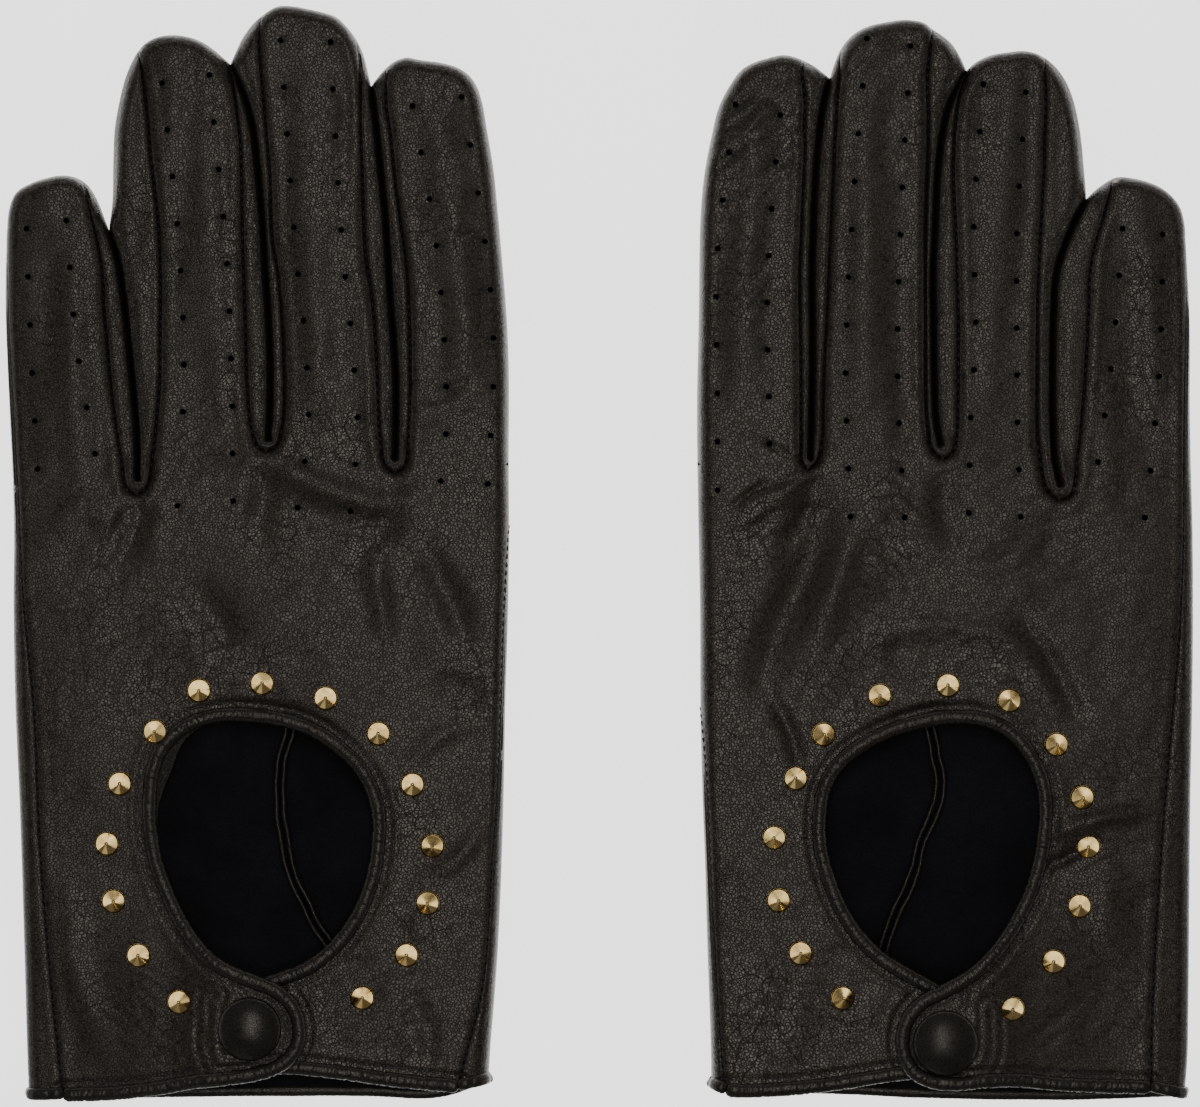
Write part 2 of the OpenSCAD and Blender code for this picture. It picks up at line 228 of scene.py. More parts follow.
def waves(plan: Array, across: float, along: float, angle: float = 0.0, seed: int = 0) -> Array:
    """Smooth seeded noise with long or round cells.

    Args:
        plan: Points on the plan.
        across: Cell size across the direction, in millimetres.
        along: Cell size along the direction, in millimetres.
        angle: The direction, in degrees from +X.
        seed: Which pattern.

    Returns:
        Values of about -1 to 1.
    """
    a = math.radians(angle)
    turn = np.array([[math.cos(a), math.sin(a)], [-math.sin(a), math.cos(a)]])
    p = (plan @ turn.T) / (along, across) + (17.3 * seed, -9.1 * seed)
    cell = np.floor(p).astype(np.int64)
    f = p - cell
    u = f**3 * (f * (f * 6 - 15) + 10)
    total = np.zeros(len(p))
    for dx in (0, 1):
        for dy in (0, 1):
            h = (cell[:, 0] + dx) * 374761393 + (cell[:, 1] + dy) * 668265263 + seed * 974634777
            h = (h ^ (h >> 13)) * 1274126177 & 0x7FFFFFFF
            turnings = ((h ^ (h >> 16)) & 0xFFFF) / 65536 * 2 * np.pi
            g = np.cos(turnings) * (f[:, 0] - dx) + np.sin(turnings) * (f[:, 1] - dy)
            w = (u[:, 0] if dx else 1 - u[:, 0]) * (u[:, 1] if dy else 1 - u[:, 1])
            total += w * g
    return total * 1.6


@dataclass(frozen=True)
class Fold:
    """A ridge (positive height) or a crease (negative) laid along a line, fading at both ends."""

    points: Path
    height: float
    width: float

    def lift(self, plan: Array) -> Array:
        """Height that the fold adds at each point."""
        gap, along = Track(drawn(self.points)).near(plan)
        return self.height * np.exp(-((gap / self.width) ** 2)) * np.sin(
            np.pi * np.clip(along, 0.03, 0.97)
        ) ** 0.6


@dataclass(frozen=True)
class Puckers:
    """A patch of fine drag wrinkles that run one way."""

    centre: Point
    radius: float
    angle: float
    depth: float = 0.16
    pitch: float = 2.2

    def lift(self, plan: Array) -> Array:
        """Height that the wrinkles add at each point.

        Args:
            plan: Points on the plan, in millimetres.

        Returns:
            The heights, in millimetres.
        """
        near = np.exp(-(((plan - self.centre) ** 2).sum(1)) / self.radius**2)
        bend = waves(plan, 9, 9, 0, 3)[:, None] * (1.4, 1.4)
        ridged = 1 - 2.6 * np.abs(waves(plan + bend, self.pitch, self.pitch * 5, self.angle, 5))
        return self.depth * near * ridged


class Edge(Enum):
    """What lies along an edge of a pattern piece."""

    SEAM = (0.06, 0.22, 0.48, 0.85, 1.3)
    RIM = (0.08, 0.3, 0.7, 1.2, 1.9, 2.8, 4.0)
    HEM = (0.7, 1.5)
    CUT = ()


@dataclass
class Stretch:
    """One stretch of a pattern piece's outline."""

    kind: Edge
    line: Array


# ---------------------------------------------------------------- sheets of leather


@dataclass
class Sheet:
    """A flat pattern piece, meshed on the plan before it is shaped."""

    outline: list[Stretch]
    holes: list[Point] = field(default_factory=list)
    hole_radius: float = 0.64
    spacing: float = 0.95

    def __post_init__(self) -> None:
        """Mesh the piece on the plan."""
        points, kinds = [], []
        for stretch in self.outline:
            points.append(stretch.line[:-1, :2])
            kinds += [stretch.kind] * (len(stretch.line) - 1)
        loop = np.vstack(points)
        gone = np.linalg.norm(loop - np.roll(loop, 1, axis=0), axis=1) < 0.02
        loop, kinds = loop[~gone], [k for k, g in zip(kinds, gone) if not g]
        following = np.roll(loop, -1, axis=0)
        if (loop[:, 0] * following[:, 1] - following[:, 0] * loop[:, 1]).sum() < 0:
            loop, kinds = loop[::-1], kinds[::-1]
            kinds = kinds[1:] + kinds[:1]
        cut = np.array([k is Edge.CUT for k in kinds])
        cut |= np.roll(cut, 1)
        self.tree = Track(np.vstack([loop, loop[:1]]))
        extra = [self._rows(loop, kinds), self._middle(loop)]
        rings, hole_edges = [], []
        turns = np.linspace(0, 2 * np.pi, 11)[:-1]
        circle = np.stack([np.cos(turns), np.sin(turns)], axis=1)
        for k, centre in enumerate(self.holes):
            rings.append(np.asarray(centre) + self.hole_radius * circle)
            first = len(loop) + 10 * k
            hole_edges += [(first + j, first + (j + 1) % 10) for j in range(10)]
            extra.append(np.asarray(centre) + (self.hole_radius + 0.35) * circle)
        everything = np.vstack([loop] + rings + extra)
        edges = [(k, (k + 1) % len(loop)) for k in range(len(loop))] + hole_edges
        found = delaunay_2d_cdt([Vector(p) for p in everything.tolist()], edges, [], 1, 1e-5)
        self.plan = np.array([tuple(p) for p in found[0]])
        source = np.array([min(ids) if ids else -1 for ids in found[3]])
        faces = np.array([f for f in found[2] if len(f) == 3])
        ring = np.where(
            (source >= len(loop)) & (source < len(loop) + 10 * len(self.holes)), (source - len(loop)) // 10, -1
        )
        inside_hole = (ring[faces] == ring[faces][:, :1]).all(1) & (ring[faces[:, 0]] >= 0)
        self.faces = faces[~inside_hole]
        a, b, c = (self.plan[self.faces[:, k]] for k in range(3))
        area = (b - a)[:, 0] * (c - a)[:, 1] - (b - a)[:, 1] * (c - a)[:, 0]
        self.faces[area < 0] = self.faces[area < 0][:, ::-1]
        self.on_cut = np.zeros(len(self.plan), bool)
        on_loop = (source >= 0) & (source < len(loop))
        self.on_cut[on_loop] = cut[source[on_loop]]

    def _rows(self, loop: Array, kinds: list[Edge]) -> Array:
        """Rows of points that follow the edges, so that they can roll over.

        Args:
            loop: Points of the outline.
            kinds: What lies along the stretch after each point.

        Returns:
            The added points.
        """
        ahead = np.roll(loop, -1, axis=0) - loop
        behind = loop - np.roll(loop, 1, axis=0)
        along = ahead / np.linalg.norm(ahead, axis=1)[:, None]
        along = along + behind / np.linalg.norm(behind, axis=1)[:, None]
        along /= np.linalg.norm(along, axis=1)[:, None] + 1e-9
        inward = np.stack([-along[:, 1], along[:, 0]], axis=1)
        rows = [np.zeros((0, 2))]
        for kind in Edge:
            of_kind = np.array([k is kind for k in kinds])
            for depth in kind.value if of_kind.any() else ():
                row = loop[of_kind] + inward[of_kind] * depth
                rows.append(row[self.tree.away(row) > 0.9 * depth])
        return self._clear_of_holes(np.vstack(rows))

    def _middle(self, loop: Array) -> Array:
        """Staggered points that fill the middle of the piece.

        Args:
            loop: Points of the outline.

        Returns:
            The added points.
        """
        low, high = loop.min(0), loop.max(0)
        xs = np.arange(low[0], high[0], self.spacing)
        ys = np.arange(low[1], high[1], self.spacing * 0.866)
        grid = np.stack(np.meshgrid(xs, ys), axis=-1)
        grid[1::2, :, 0] += self.spacing / 2
        grid = grid.reshape(-1, 2)
        inside = np.zeros(len(grid), bool)
        for a, b in zip(loop, np.roll(loop, -1, axis=0)):
            if a[1] != b[1]:
                spans = (a[1] > grid[:, 1]) != (b[1] > grid[:, 1])
                x = a[0] + (grid[spans, 1] - a[1]) * (b[0] - a[0]) / (b[1] - a[1])
                inside[spans] ^= grid[spans, 0] < x
        grid = grid[inside]
        return self._clear_of_holes(grid[self.tree.away(grid) > 0.5 * self.spacing])

    def _clear_of_holes(self, points: Array) -> Array:
        """The points that aren't in or close to a punched hole.

        Args:
            points: Points on the plan.

        Returns:
            Those that are clear of every hole.
        """
        for centre in self.holes:
            points = points[np.linalg.norm(points - centre, axis=1) > self.hole_radius + 0.6]
        return points


@dataclass
class Shell:
    """Closed leather shell: grain side, flesh side and cut edges, in millimetres."""

    points: Array
    faces: list[tuple[int, ...]]
    normals: Array
    skins: list[int]


def normals_of(points: Array, faces: Array) -> Array:
    """Smooth normals at the points of a triangle mesh.

    Args:
        points: Points, one row each.
        faces: Triangles, as rows of three point numbers.

    Returns:
        One direction for each point.
    """
    a, b, c = (points[faces[:, k]] for k in range(3))
    face = np.cross(b - a, c - a)
    total = np.zeros_like(points)
    for k in range(3):
        for axis in range(3):
            total[:, axis] += np.bincount(faces[:, k], face[:, axis], len(points))
    return total / (np.linalg.norm(total, axis=1)[:, None] + 1e-12)


def shaped(
    sheet: Sheet, height: Callable[[Array], Array], thickness: float | Array, downward: bool = False
) -> Shell:
    """Give a pattern piece its height and its thickness.

    Args:
        sheet: The meshed pattern piece.
        height: Height of the grain side over each plan point.
        thickness: Thickness of the leather, one value or one for each point.
        downward: Whether the grain side faces down.

    Returns:
        The closed shell.
    """
    outer = np.column_stack([sheet.plan, height(sheet.plan)])
    faces = sheet.faces[:, ::-1] if downward else sheet.faces
    normal = normals_of(outer, faces)
    cut = sheet.plan[sheet.on_cut]
    if len(cut):
        h = 0.25
        dx = (height(cut + (h, 0)) - height(cut - (h, 0))) / (2 * h)
        dy = (height(cut + (0, h)) - height(cut - (0, h))) / (2 * h)
        slope = np.column_stack([-dx, -dy, np.ones(len(cut))]) * (-1 if downward else 1)
        normal[sheet.on_cut] = slope / np.linalg.norm(slope, axis=1)[:, None]
    depth = np.broadcast_to(thickness, len(outer))[:, None]
    inner = outer - normal * depth
    n = len(outer)
    edges = np.vstack([faces[:, [0, 1]], faces[:, [1, 2]], faces[:, [2, 0]]])
    key = np.sort(edges, axis=1)
    code = key[:, 0] * n + key[:, 1]
    _, first, count = np.unique(code, return_index=True, return_counts=True)
    rim = edges[first[count == 1]]
    walls = np.column_stack([rim[:, 0], rim[:, 0] + n, rim[:, 1] + n, rim[:, 1]])
    points = np.vstack([outer, inner])
    all_faces = faces.tolist() + (faces[:, ::-1] + n).tolist() + walls.tolist()
    side = np.cross(points[walls[:, 1]] - points[walls[:, 0]], points[walls[:, 2]] - points[walls[:, 1]])
    side /= np.linalg.norm(side, axis=1)[:, None] + 1e-12
    corner = np.vstack([normal[faces.ravel()], -normal[faces[:, ::-1].ravel()], np.repeat(side, 4, axis=0)])
    skins = [0] * len(faces) + [1] * len(faces) + [2] * len(walls)
    return Shell(points, all_faces, corner, skins)


def joined(shells: list[Shell]) -> Shell:
    """Put several shells into one piece.

    Args:
        shells: The shells, which keep their places.

    Returns:
        One shell with all their points and faces.
    """
    points, faces, skins, base = [], [], [], 0
    for shell in shells:
        points.append(shell.points)
        faces += [tuple(k + base for k in face) for face in shell.faces]
        skins += shell.skins
        base += len(shell.points)
    return Shell(np.vstack(points), faces, np.vstack([s.normals for s in shells]), skins)


def tube(
    path: Array,
    half_width: float,
    half_height: float,
    wrinkle: float = 0.0,
    sides: int = 16,
    pitch: float = 0.9,
) -> Shell:
    """Sweep a flattened round strip along a path.

    Args:
        path: Points in three dimensions, in millimetres.
        half_width: Half of the strip's width on the plan.
        half_height: Half of its height.
        wrinkle: Depth of the cross wrinkles where the leather is gathered.
        sides: Number of points round the strip.
        pitch: Spacing of the wrinkles.

    Returns:
        The closed strip.
    """
    along = np.gradient(path, axis=0)
    along /= np.linalg.norm(along, axis=1)[:, None] + 1e-9
    across = np.cross((0, 0, 1.0), along)
    across /= np.linalg.norm(across, axis=1)[:, None] + 1e-9
    up = np.cross(along, across)
    length = np.concatenate([[0], np.cumsum(np.linalg.norm(np.diff(path, axis=0), axis=1))])
    turns = np.linspace(0, 2 * np.pi, sides + 1)[:-1]
    s, t = np.meshgrid(length, turns, indexing="ij")
    flat = np.column_stack([s.ravel(), t.ravel()])
    gathers = waves(flat + waves(flat * (1, 2), 3, 3, 0, 8)[:, None] * (0.8, 0), 2.4, pitch, 0, 11)
    broad = waves(flat, 3.0, 7.0, 0, 4)
    swell = 1 + (wrinkle * (-1.6 * np.abs(gathers) + 0.4) + 0.05 * broad * (wrinkle > 0)).reshape(s.shape)
    end = np.sqrt(np.clip(np.minimum(length, length[-1] - length) / half_height, 0.02, 1))
    swell = swell * end[:, None] ** 0.5
    ring = (
        path[:, None, :]
        + across[:, None, :] * (np.cos(t) * swell * half_width)[:, :, None]
        + up[:, None, :] * (np.sin(t) * swell * half_height)[:, :, None]
    )
    points = ring.reshape(-1, 3)
    k = np.arange(len(path) - 1)[:, None] * sides
    j = np.arange(sides)[None, :]
    j2 = (j + 1) % sides
    quads = np.stack([k + j, k + sides + j, k + sides + j2, k + j2], axis=-1).reshape(-1, 4)
    quads = quads[:, ::-1]
    caps = [tuple(range(sides)), tuple(range(len(points) - 1, len(points) - 1 - sides, -1))]
    triangles = np.vstack([quads[:, :3], quads[:, [0, 2, 3]]])
    normal = normals_of(points, triangles)
    corner = np.vstack([normal[quads.ravel()], normal[list(caps[0])], normal[list(caps[1])]])
    return Shell(points, quads.tolist() + caps, corner, [0] * (len(quads) + 2))


def made(name: str, shell: Shell, materials: Sequence[bpy.types.Material]) -> bpy.types.Object:
    """Make a Blender object from a shell.

    Args:
        name: Name of the piece.
        shell: Its points, faces and normals in millimetres.
        materials: Materials of the grain side, the flesh side and the cut edges.

    Returns:
        The object, at the origin, in metres.
    """
    mesh = bpy.data.meshes.new(name)
    mesh.from_pydata((shell.points * MM).tolist(), [], shell.faces)
    for material in materials:
        mesh.materials.append(material)
    mesh.polygons.foreach_set("material_index", [min(k, len(materials) - 1) for k in shell.skins])
    mesh.polygons.foreach_set("use_smooth", [True] * len(shell.faces))
    mesh.update()
    mesh.normals_split_custom_set(shell.normals.tolist())
    piece = bpy.data.objects.new(name, mesh)
    bpy.context.scene.collection.objects.link(piece)
    log.info("%s: %d faces", name, len(mesh.polygons))
    return piece


# ---------------------------------------------------------------- finishes


def linear(hex_colour: str) -> tuple[float, float, float, float]:
    """Turn an sRGB hex colour into Blender's linear colour.

    Args:
        hex_colour: A colour such as "#1d1a18".

    Returns:
        Red, green, blue and an alpha of 1.
    """
    parts = [int(hex_colour[k : k + 2], 16) / 255 for k in (1, 3, 5)]
    r, g, b = (c / 12.92 if c <= 0.04045 else ((c + 0.055) / 1.055) ** 2.4 for c in parts)
    return r, g, b, 1.0


def add_node(
    tree: bpy.types.NodeTree, kind: str, settings: dict | None = None, links: dict | None = None
) -> bpy.types.Node:
    """Add one node to a tree.

    Args:
        tree: The material's or geometry's node tree.
        kind: Blender's name for the node type.
        settings: Node properties by name, and input values by input name or number.
        links: For each input name or number, the node, or the node and output, that feeds it.

    Returns:
        The new node.
    """
    node = tree.nodes.new(kind)
    for name, value in (settings or {}).items():
        if isinstance(name, str) and hasattr(node, name) and name not in node.inputs:
            setattr(node, name, value)
        else:
            node.inputs[name].default_value = value
    for name, source in (links or {}).items():
        origin, output = source if isinstance(source, tuple) else (source, 0)
        tree.links.new(origin.outputs[output], node.inputs[name])
    return node


def blank(name: str) -> tuple[bpy.types.Material, bpy.types.NodeTree, bpy.types.Node]:
    """Start an empty material.

    Args:
        name: Name of the material.

    Returns:
        The material, its tree, and the node that gives places on the piece.
    """
    material = bpy.data.materials.new(name)
    material.use_nodes = True
    tree = material.node_tree
    tree.nodes.clear()
    return material, tree, add_node(tree, "ShaderNodeTexCoord")


@dataclass(frozen=True)
class GrainLeather:
    """Leather with a pebbled grain, dyed and lightly finished.

    Glove nappa is soft aniline lambskin: a fine cell grain of about 0.7 mm, satin rather than glossy.
    The pebble tops are coloured lighter and browner and the cracks darker: partly wear, partly a painted highlight
    on the tops and painted shade in the cracks.
    """

    name: str
    dye: str = "#1d1a18"
    # colour of the pebble tops: some wear plus a painted highlight
    pebble_wear_and_highlight: str = "#2c2722"
    roughness: float = 0.33
    cell_mm: float = 0.64
    relief_mm: float = 0.03
    crease_mm: float = 0.04
    sheen: str = "#fff5e8"

    def material(self) -> bpy.types.Material:
        """Build the material.

        Returns:
            The finished material.
        """
        material, tree, place = blank(self.name)
        wander = add_node(
            tree, "ShaderNodeTexNoise", {"Scale": 500.0, "Detail": 2.0}, {"Vector": (place, "Object")}
        )
        bent = add_node(
            tree, "ShaderNodeMix", {"data_type": "RGBA", "blend_type": "LINEAR_LIGHT", "Factor": 0.0005},
            {6: (place, "Object"), 7: (wander, "Color")},
        )
        cells = add_node(
            tree, "ShaderNodeTexVoronoi", {"feature": "DISTANCE_TO_EDGE", "Scale": 1 / (self.cell_mm * MM)},
            {"Vector": (bent, 2)},
        )
        # pebble mask: 0 in the cracks, 1 on the cell tops; it drives the bump, the specular level and the painted
        # highlight and shade
        pebble = add_node(
            tree, "ShaderNodeMapRange",
            {
                "interpolation_type": "SMOOTHSTEP", "From Min": 0.0, "From Max": 0.2, "To Min": 0.0,
                "To Max": 1.0,
            },
            {"Value": (cells, "Distance")},
        )
        drift = add_node(
            tree, "ShaderNodeTexNoise", {"Scale": 130.0, "Detail": 3.0}, {"Vector": (place, "Object")}
        )
        wavy = add_node(
            tree, "ShaderNodeMix", {"data_type": "RGBA", "blend_type": "LINEAR_LIGHT", "Factor": 0.0022},
            {6: (place, "Object"), 7: (drift, "Color")},
        )
        plates = add_node(
            tree, "ShaderNodeTexVoronoi", {"feature": "DISTANCE_TO_EDGE", "Scale": 0.2 / (self.cell_mm * MM)},
            {"Vector": (wavy, 2)},
        )
        lines = add_node(
            tree, "ShaderNodeMapRange",
            {
                "interpolation_type": "SMOOTHSTEP", "From Min": 0.0, "From Max": 0.045, "To Min": 0.0,
                "To Max": 1.0,
            },
            {"Value": (plates, "Distance")},
        )
        fine = add_node(
            tree, "ShaderNodeTexNoise", {"Scale": 3600.0, "Detail": 3.0}, {"Vector": (place, "Object")}
        )
        creases = add_node(
            tree, "ShaderNodeTexNoise", {
                "Scale": 190.0, "Detail": 4.0, "Distortion": 0.9
            }, {"Vector": (place, "Object")}
        )
        patches = add_node(
            tree, "ShaderNodeTexNoise", {"Scale": 55.0, "Detail": 4.0}, {"Vector": (place, "Object")}
        )
        # painted highlight and painted shade: the pebble tops take the lighter colour, the cracks between cells the
        # darker dye
        colour = add_node(
            tree, "ShaderNodeMix", {
                "data_type": "RGBA", 6: linear(self.dye), 7: linear(self.pebble_wear_and_highlight)
            }, {"Factor": (pebble, 0)}
        )
        gloss = add_node(
            tree, "ShaderNodeMapRange",
            {
                "From Min": 0.3, "From Max": 0.7, "To Min": self.roughness + 0.06,
                "To Max": self.roughness - 0.05,
            },
            {"Value": (patches, 0)},
        )
        bump_pebble = add_node(
            tree, "ShaderNodeBump", {"Strength": 1.0, "Distance": self.relief_mm * MM}, {"Height": (pebble, 0)}
        )
        worn_in = add_node(
            tree, "ShaderNodeMapRange", {
                "From Min": 0.46, "From Max": 0.6, "To Min": 1.0, "To Max": 0.0
            }, {"Value": (patches, 0)}
        )
        cracked = add_node(tree, "ShaderNodeMath", {"operation": "MAXIMUM"}, {0: (lines, 0), 1: (worn_in, 0)})
        bump_line = add_node(
            tree, "ShaderNodeBump", {"Strength": 1.0, "Distance": self.relief_mm * 1.5 * MM},
            {"Height": (cracked, 0), "Normal": (bump_pebble, 0)},
        )
        bump_crease = add_node(
            tree, "ShaderNodeBump", {"Strength": 0.9, "Distance": self.crease_mm * MM},
            {"Height": (creases, 0), "Normal": (bump_line, 0)},
        )
        bump_fine = add_node(
            tree, "ShaderNodeBump", {"Strength": 0.35, "Distance": 0.01 * MM},
            {"Height": (fine, 0), "Normal": (bump_crease, 0)},
        )
        skin = add_node(tree, "ShaderNodeMath", {"operation": "MULTIPLY"}, {0: (pebble, 0), 1: (cracked, 0)})
        lit = add_node(
            tree, "ShaderNodeMapRange", {"From Min": 0.0, "From Max": 1.0, "To Min": 0.2, "To Max": 0.5},
            {"Value": (skin, 0)},
        )
        surface = add_node(
            tree, "ShaderNodeBsdfPrincipled", {"IOR": 1.5, "Specular Tint": linear(self.sheen)},
            {
                "Base Color": (colour, 2), "Roughness": (gloss, 0), "Normal": (bump_fine, 0),
                "Specular IOR Level": (lit, 0),
            },
        )
        add_node(tree, "ShaderNodeOutputMaterial", {}, {"Surface": (surface, 0)})
        return material


@dataclass(frozen=True)
class SuedeFlesh:
    """Flesh side of the skins: a matt, fibrous suede with a bluish black dye and a soft nap."""

    name: str = "Suede_flesh_side"
    dye: str = "#121215"
    nap: str = "#1f1f23"

    def material(self) -> bpy.types.Material:
        """Build the material.

        Returns:
            The finished material.
        """
        material, tree, place = blank(self.name)
        fibre = add_node(
            tree, "ShaderNodeTexNoise", {"Scale": 2600.0, "Detail": 5.0}, {"Vector": (place, "Object")}
        )
        brushed = add_node(
            tree, "ShaderNodeTexNoise", {"Scale": 75.0, "Detail": 6.0}, {"Vector": (place, "Object")}
        )
        both = add_node(tree, "ShaderNodeMath", {"operation": "MULTIPLY"}, {0: (fibre, 0), 1: (brushed, 0)})
        spread = add_node(
            tree, "ShaderNodeMapRange", {
                "From Min": 0.14, "From Max": 0.4, "To Min": 0.0, "To Max": 1.0
            }, {"Value": (both, 0)}
        )
        colour = add_node(
            tree, "ShaderNodeMix", {
                "data_type": "RGBA", 6: linear(self.dye), 7: linear(self.nap)
            }, {"Factor": (spread, 0)}
        )
        bump = add_node(tree, "ShaderNodeBump", {"Strength": 0.8, "Distance": 0.1 * MM}, {"Height": (fibre, 0)})
        surface = add_node(
            tree, "ShaderNodeBsdfPrincipled",
            {"Roughness": 0.95, "Specular IOR Level": 0.15, "Sheen Weight": 0.12, "Sheen Roughness": 0.45},
            {"Base Color": (colour, 2), "Normal": (bump, 0)},
        )
        add_node(tree, "ShaderNodeOutputMaterial", {}, {"Surface": (surface, 0)})
        return material


@dataclass(frozen=True)
class PlatedBrass:
    """Brass: spun and plated for the studs, plain and duller for the hidden snap parts."""

    name: str
    tint: str = "#f2d898"
    shade: str = "#dcb46a"
    roughness: float = 0.17

    def material(self) -> bpy.types.Material:
        """Build the material.

        Returns:
            The finished material.
        """
        material, tree, place = blank(self.name)
        smudge = add_node(
            tree, "ShaderNodeTexNoise", {"Scale": 500.0, "Detail": 3.0}, {"Vector": (place, "Object")}
        )
        colour = add_node(
            tree, "ShaderNodeMix", {
                "data_type": "RGBA", 6: linear(self.tint), 7: linear(self.shade)
            }, {"Factor": (smudge, 0)}
        )
        gloss = add_node(
            tree, "ShaderNodeMapRange",
            {
                "From Min": 0.3, "From Max": 0.7, "To Min": self.roughness - 0.05,
                "To Max": self.roughness + 0.08,
            },
            {"Value": (smudge, 0)},
        )
        bump = add_node(
            tree, "ShaderNodeBump", {"Strength": 0.25, "Distance": 0.02 * MM}, {"Height": (smudge, 0)}
        )
        surface = add_node(
            tree, "ShaderNodeBsdfPrincipled", {"Metallic": 1.0},
            {"Base Color": (colour, 2), "Roughness": (gloss, 0), "Normal": (bump, 0)},
        )
        add_node(tree, "ShaderNodeOutputMaterial", {}, {"Surface": (surface, 0)})
        return material


@dataclass(frozen=True)
class SewingThread:
    """Polyester sewing thread: fine, dark blue-black, twisted, with a slight sheen."""

    name: str = "Polyester_thread"
    dye: str = "#14151d"
    shine: str = "#23242e"
    twist_mm: float = 0.3

    def material(self) -> bpy.types.Material:
        """Build the material.

        Returns:
            The finished material.
        """
        material, tree, place = blank(self.name)
        twist = add_node(
            tree, "ShaderNodeTexWave", {
                "wave_type": "BANDS", "bands_direction": "DIAGONAL", "Scale": 0.3 / (self.twist_mm * MM)
            },
            {"Vector": (place, "Object")},
        )
        colour = add_node(
            tree, "ShaderNodeMix", {
                "data_type": "RGBA", 6: linear(self.dye), 7: linear(self.shine)
            }, {"Factor": (twist, "Fac")}
        )
        bump = add_node(
            tree, "ShaderNodeBump", {"Strength": 0.5, "Distance": 0.04 * MM}, {"Height": (twist, "Fac")}
        )
        surface = add_node(
            tree, "ShaderNodeBsdfPrincipled", {"Roughness": 0.6}, {
                "Base Color": (colour, 2), "Normal": (bump, 0)
            }
        )
        add_node(tree, "ShaderNodeOutputMaterial", {}, {"Surface": (surface, 0)})
        return material


class Wardrobe:
    """All the finishes of the pair, made once."""

    def __init__(self) -> None:
        """Make the materials."""
        self.nappa = GrainLeather("Black_nappa_leather").material()
        self.strip = GrainLeather(
            "Folded_binding_leather", dye="#1d1b19", pebble_wear_and_highlight="#262320", roughness=0.34, cell_mm=0.5, relief_mm=0.008,
            crease_mm=0.03,
        ).material()
        self.cap = GrainLeather(
            "Stretched_cap_leather", dye="#181616", pebble_wear_and_highlight="#211f1d", roughness=0.29, cell_mm=0.45, relief_mm=0.008,
            crease_mm=0.015,
        ).material()
        self.raw = GrainLeather(
            "Raw_cut_edge_leather", dye="#0c0b0c", pebble_wear_and_highlight="#141313", roughness=0.85, cell_mm=0.4, relief_mm=0.05,
            crease_mm=0.02,
        ).material()
        self.facing = GrainLeather(
            "Matt_facing_leather", dye="#151413", pebble_wear_and_highlight="#1d1b1a", roughness=0.6, cell_mm=0.6, relief_mm=0.03,
            crease_mm=0.03,
        ).material()
        self.suede = SuedeFlesh().material()
        self.gold = PlatedBrass("Gold_plated_brass").material()
        self.brass = PlatedBrass("Plain_snap_brass", tint="#b49a62", shade="#8d7442", roughness=0.32).material()
        self.thread = SewingThread().material()

    def wrapped(self) -> list[bpy.types.Material]:
        """Finishes of a skin whose edges are all turned under."""
        grain, flesh, _ = self.leather()
        return [grain, flesh, grain]

    def leather(self) -> list[bpy.types.Material]:
        """Grain side, flesh side and cut edge."""
        return [self.nappa, self.suede, self.raw]


# ---------------------------------------------------------------- repeats by geometry nodes


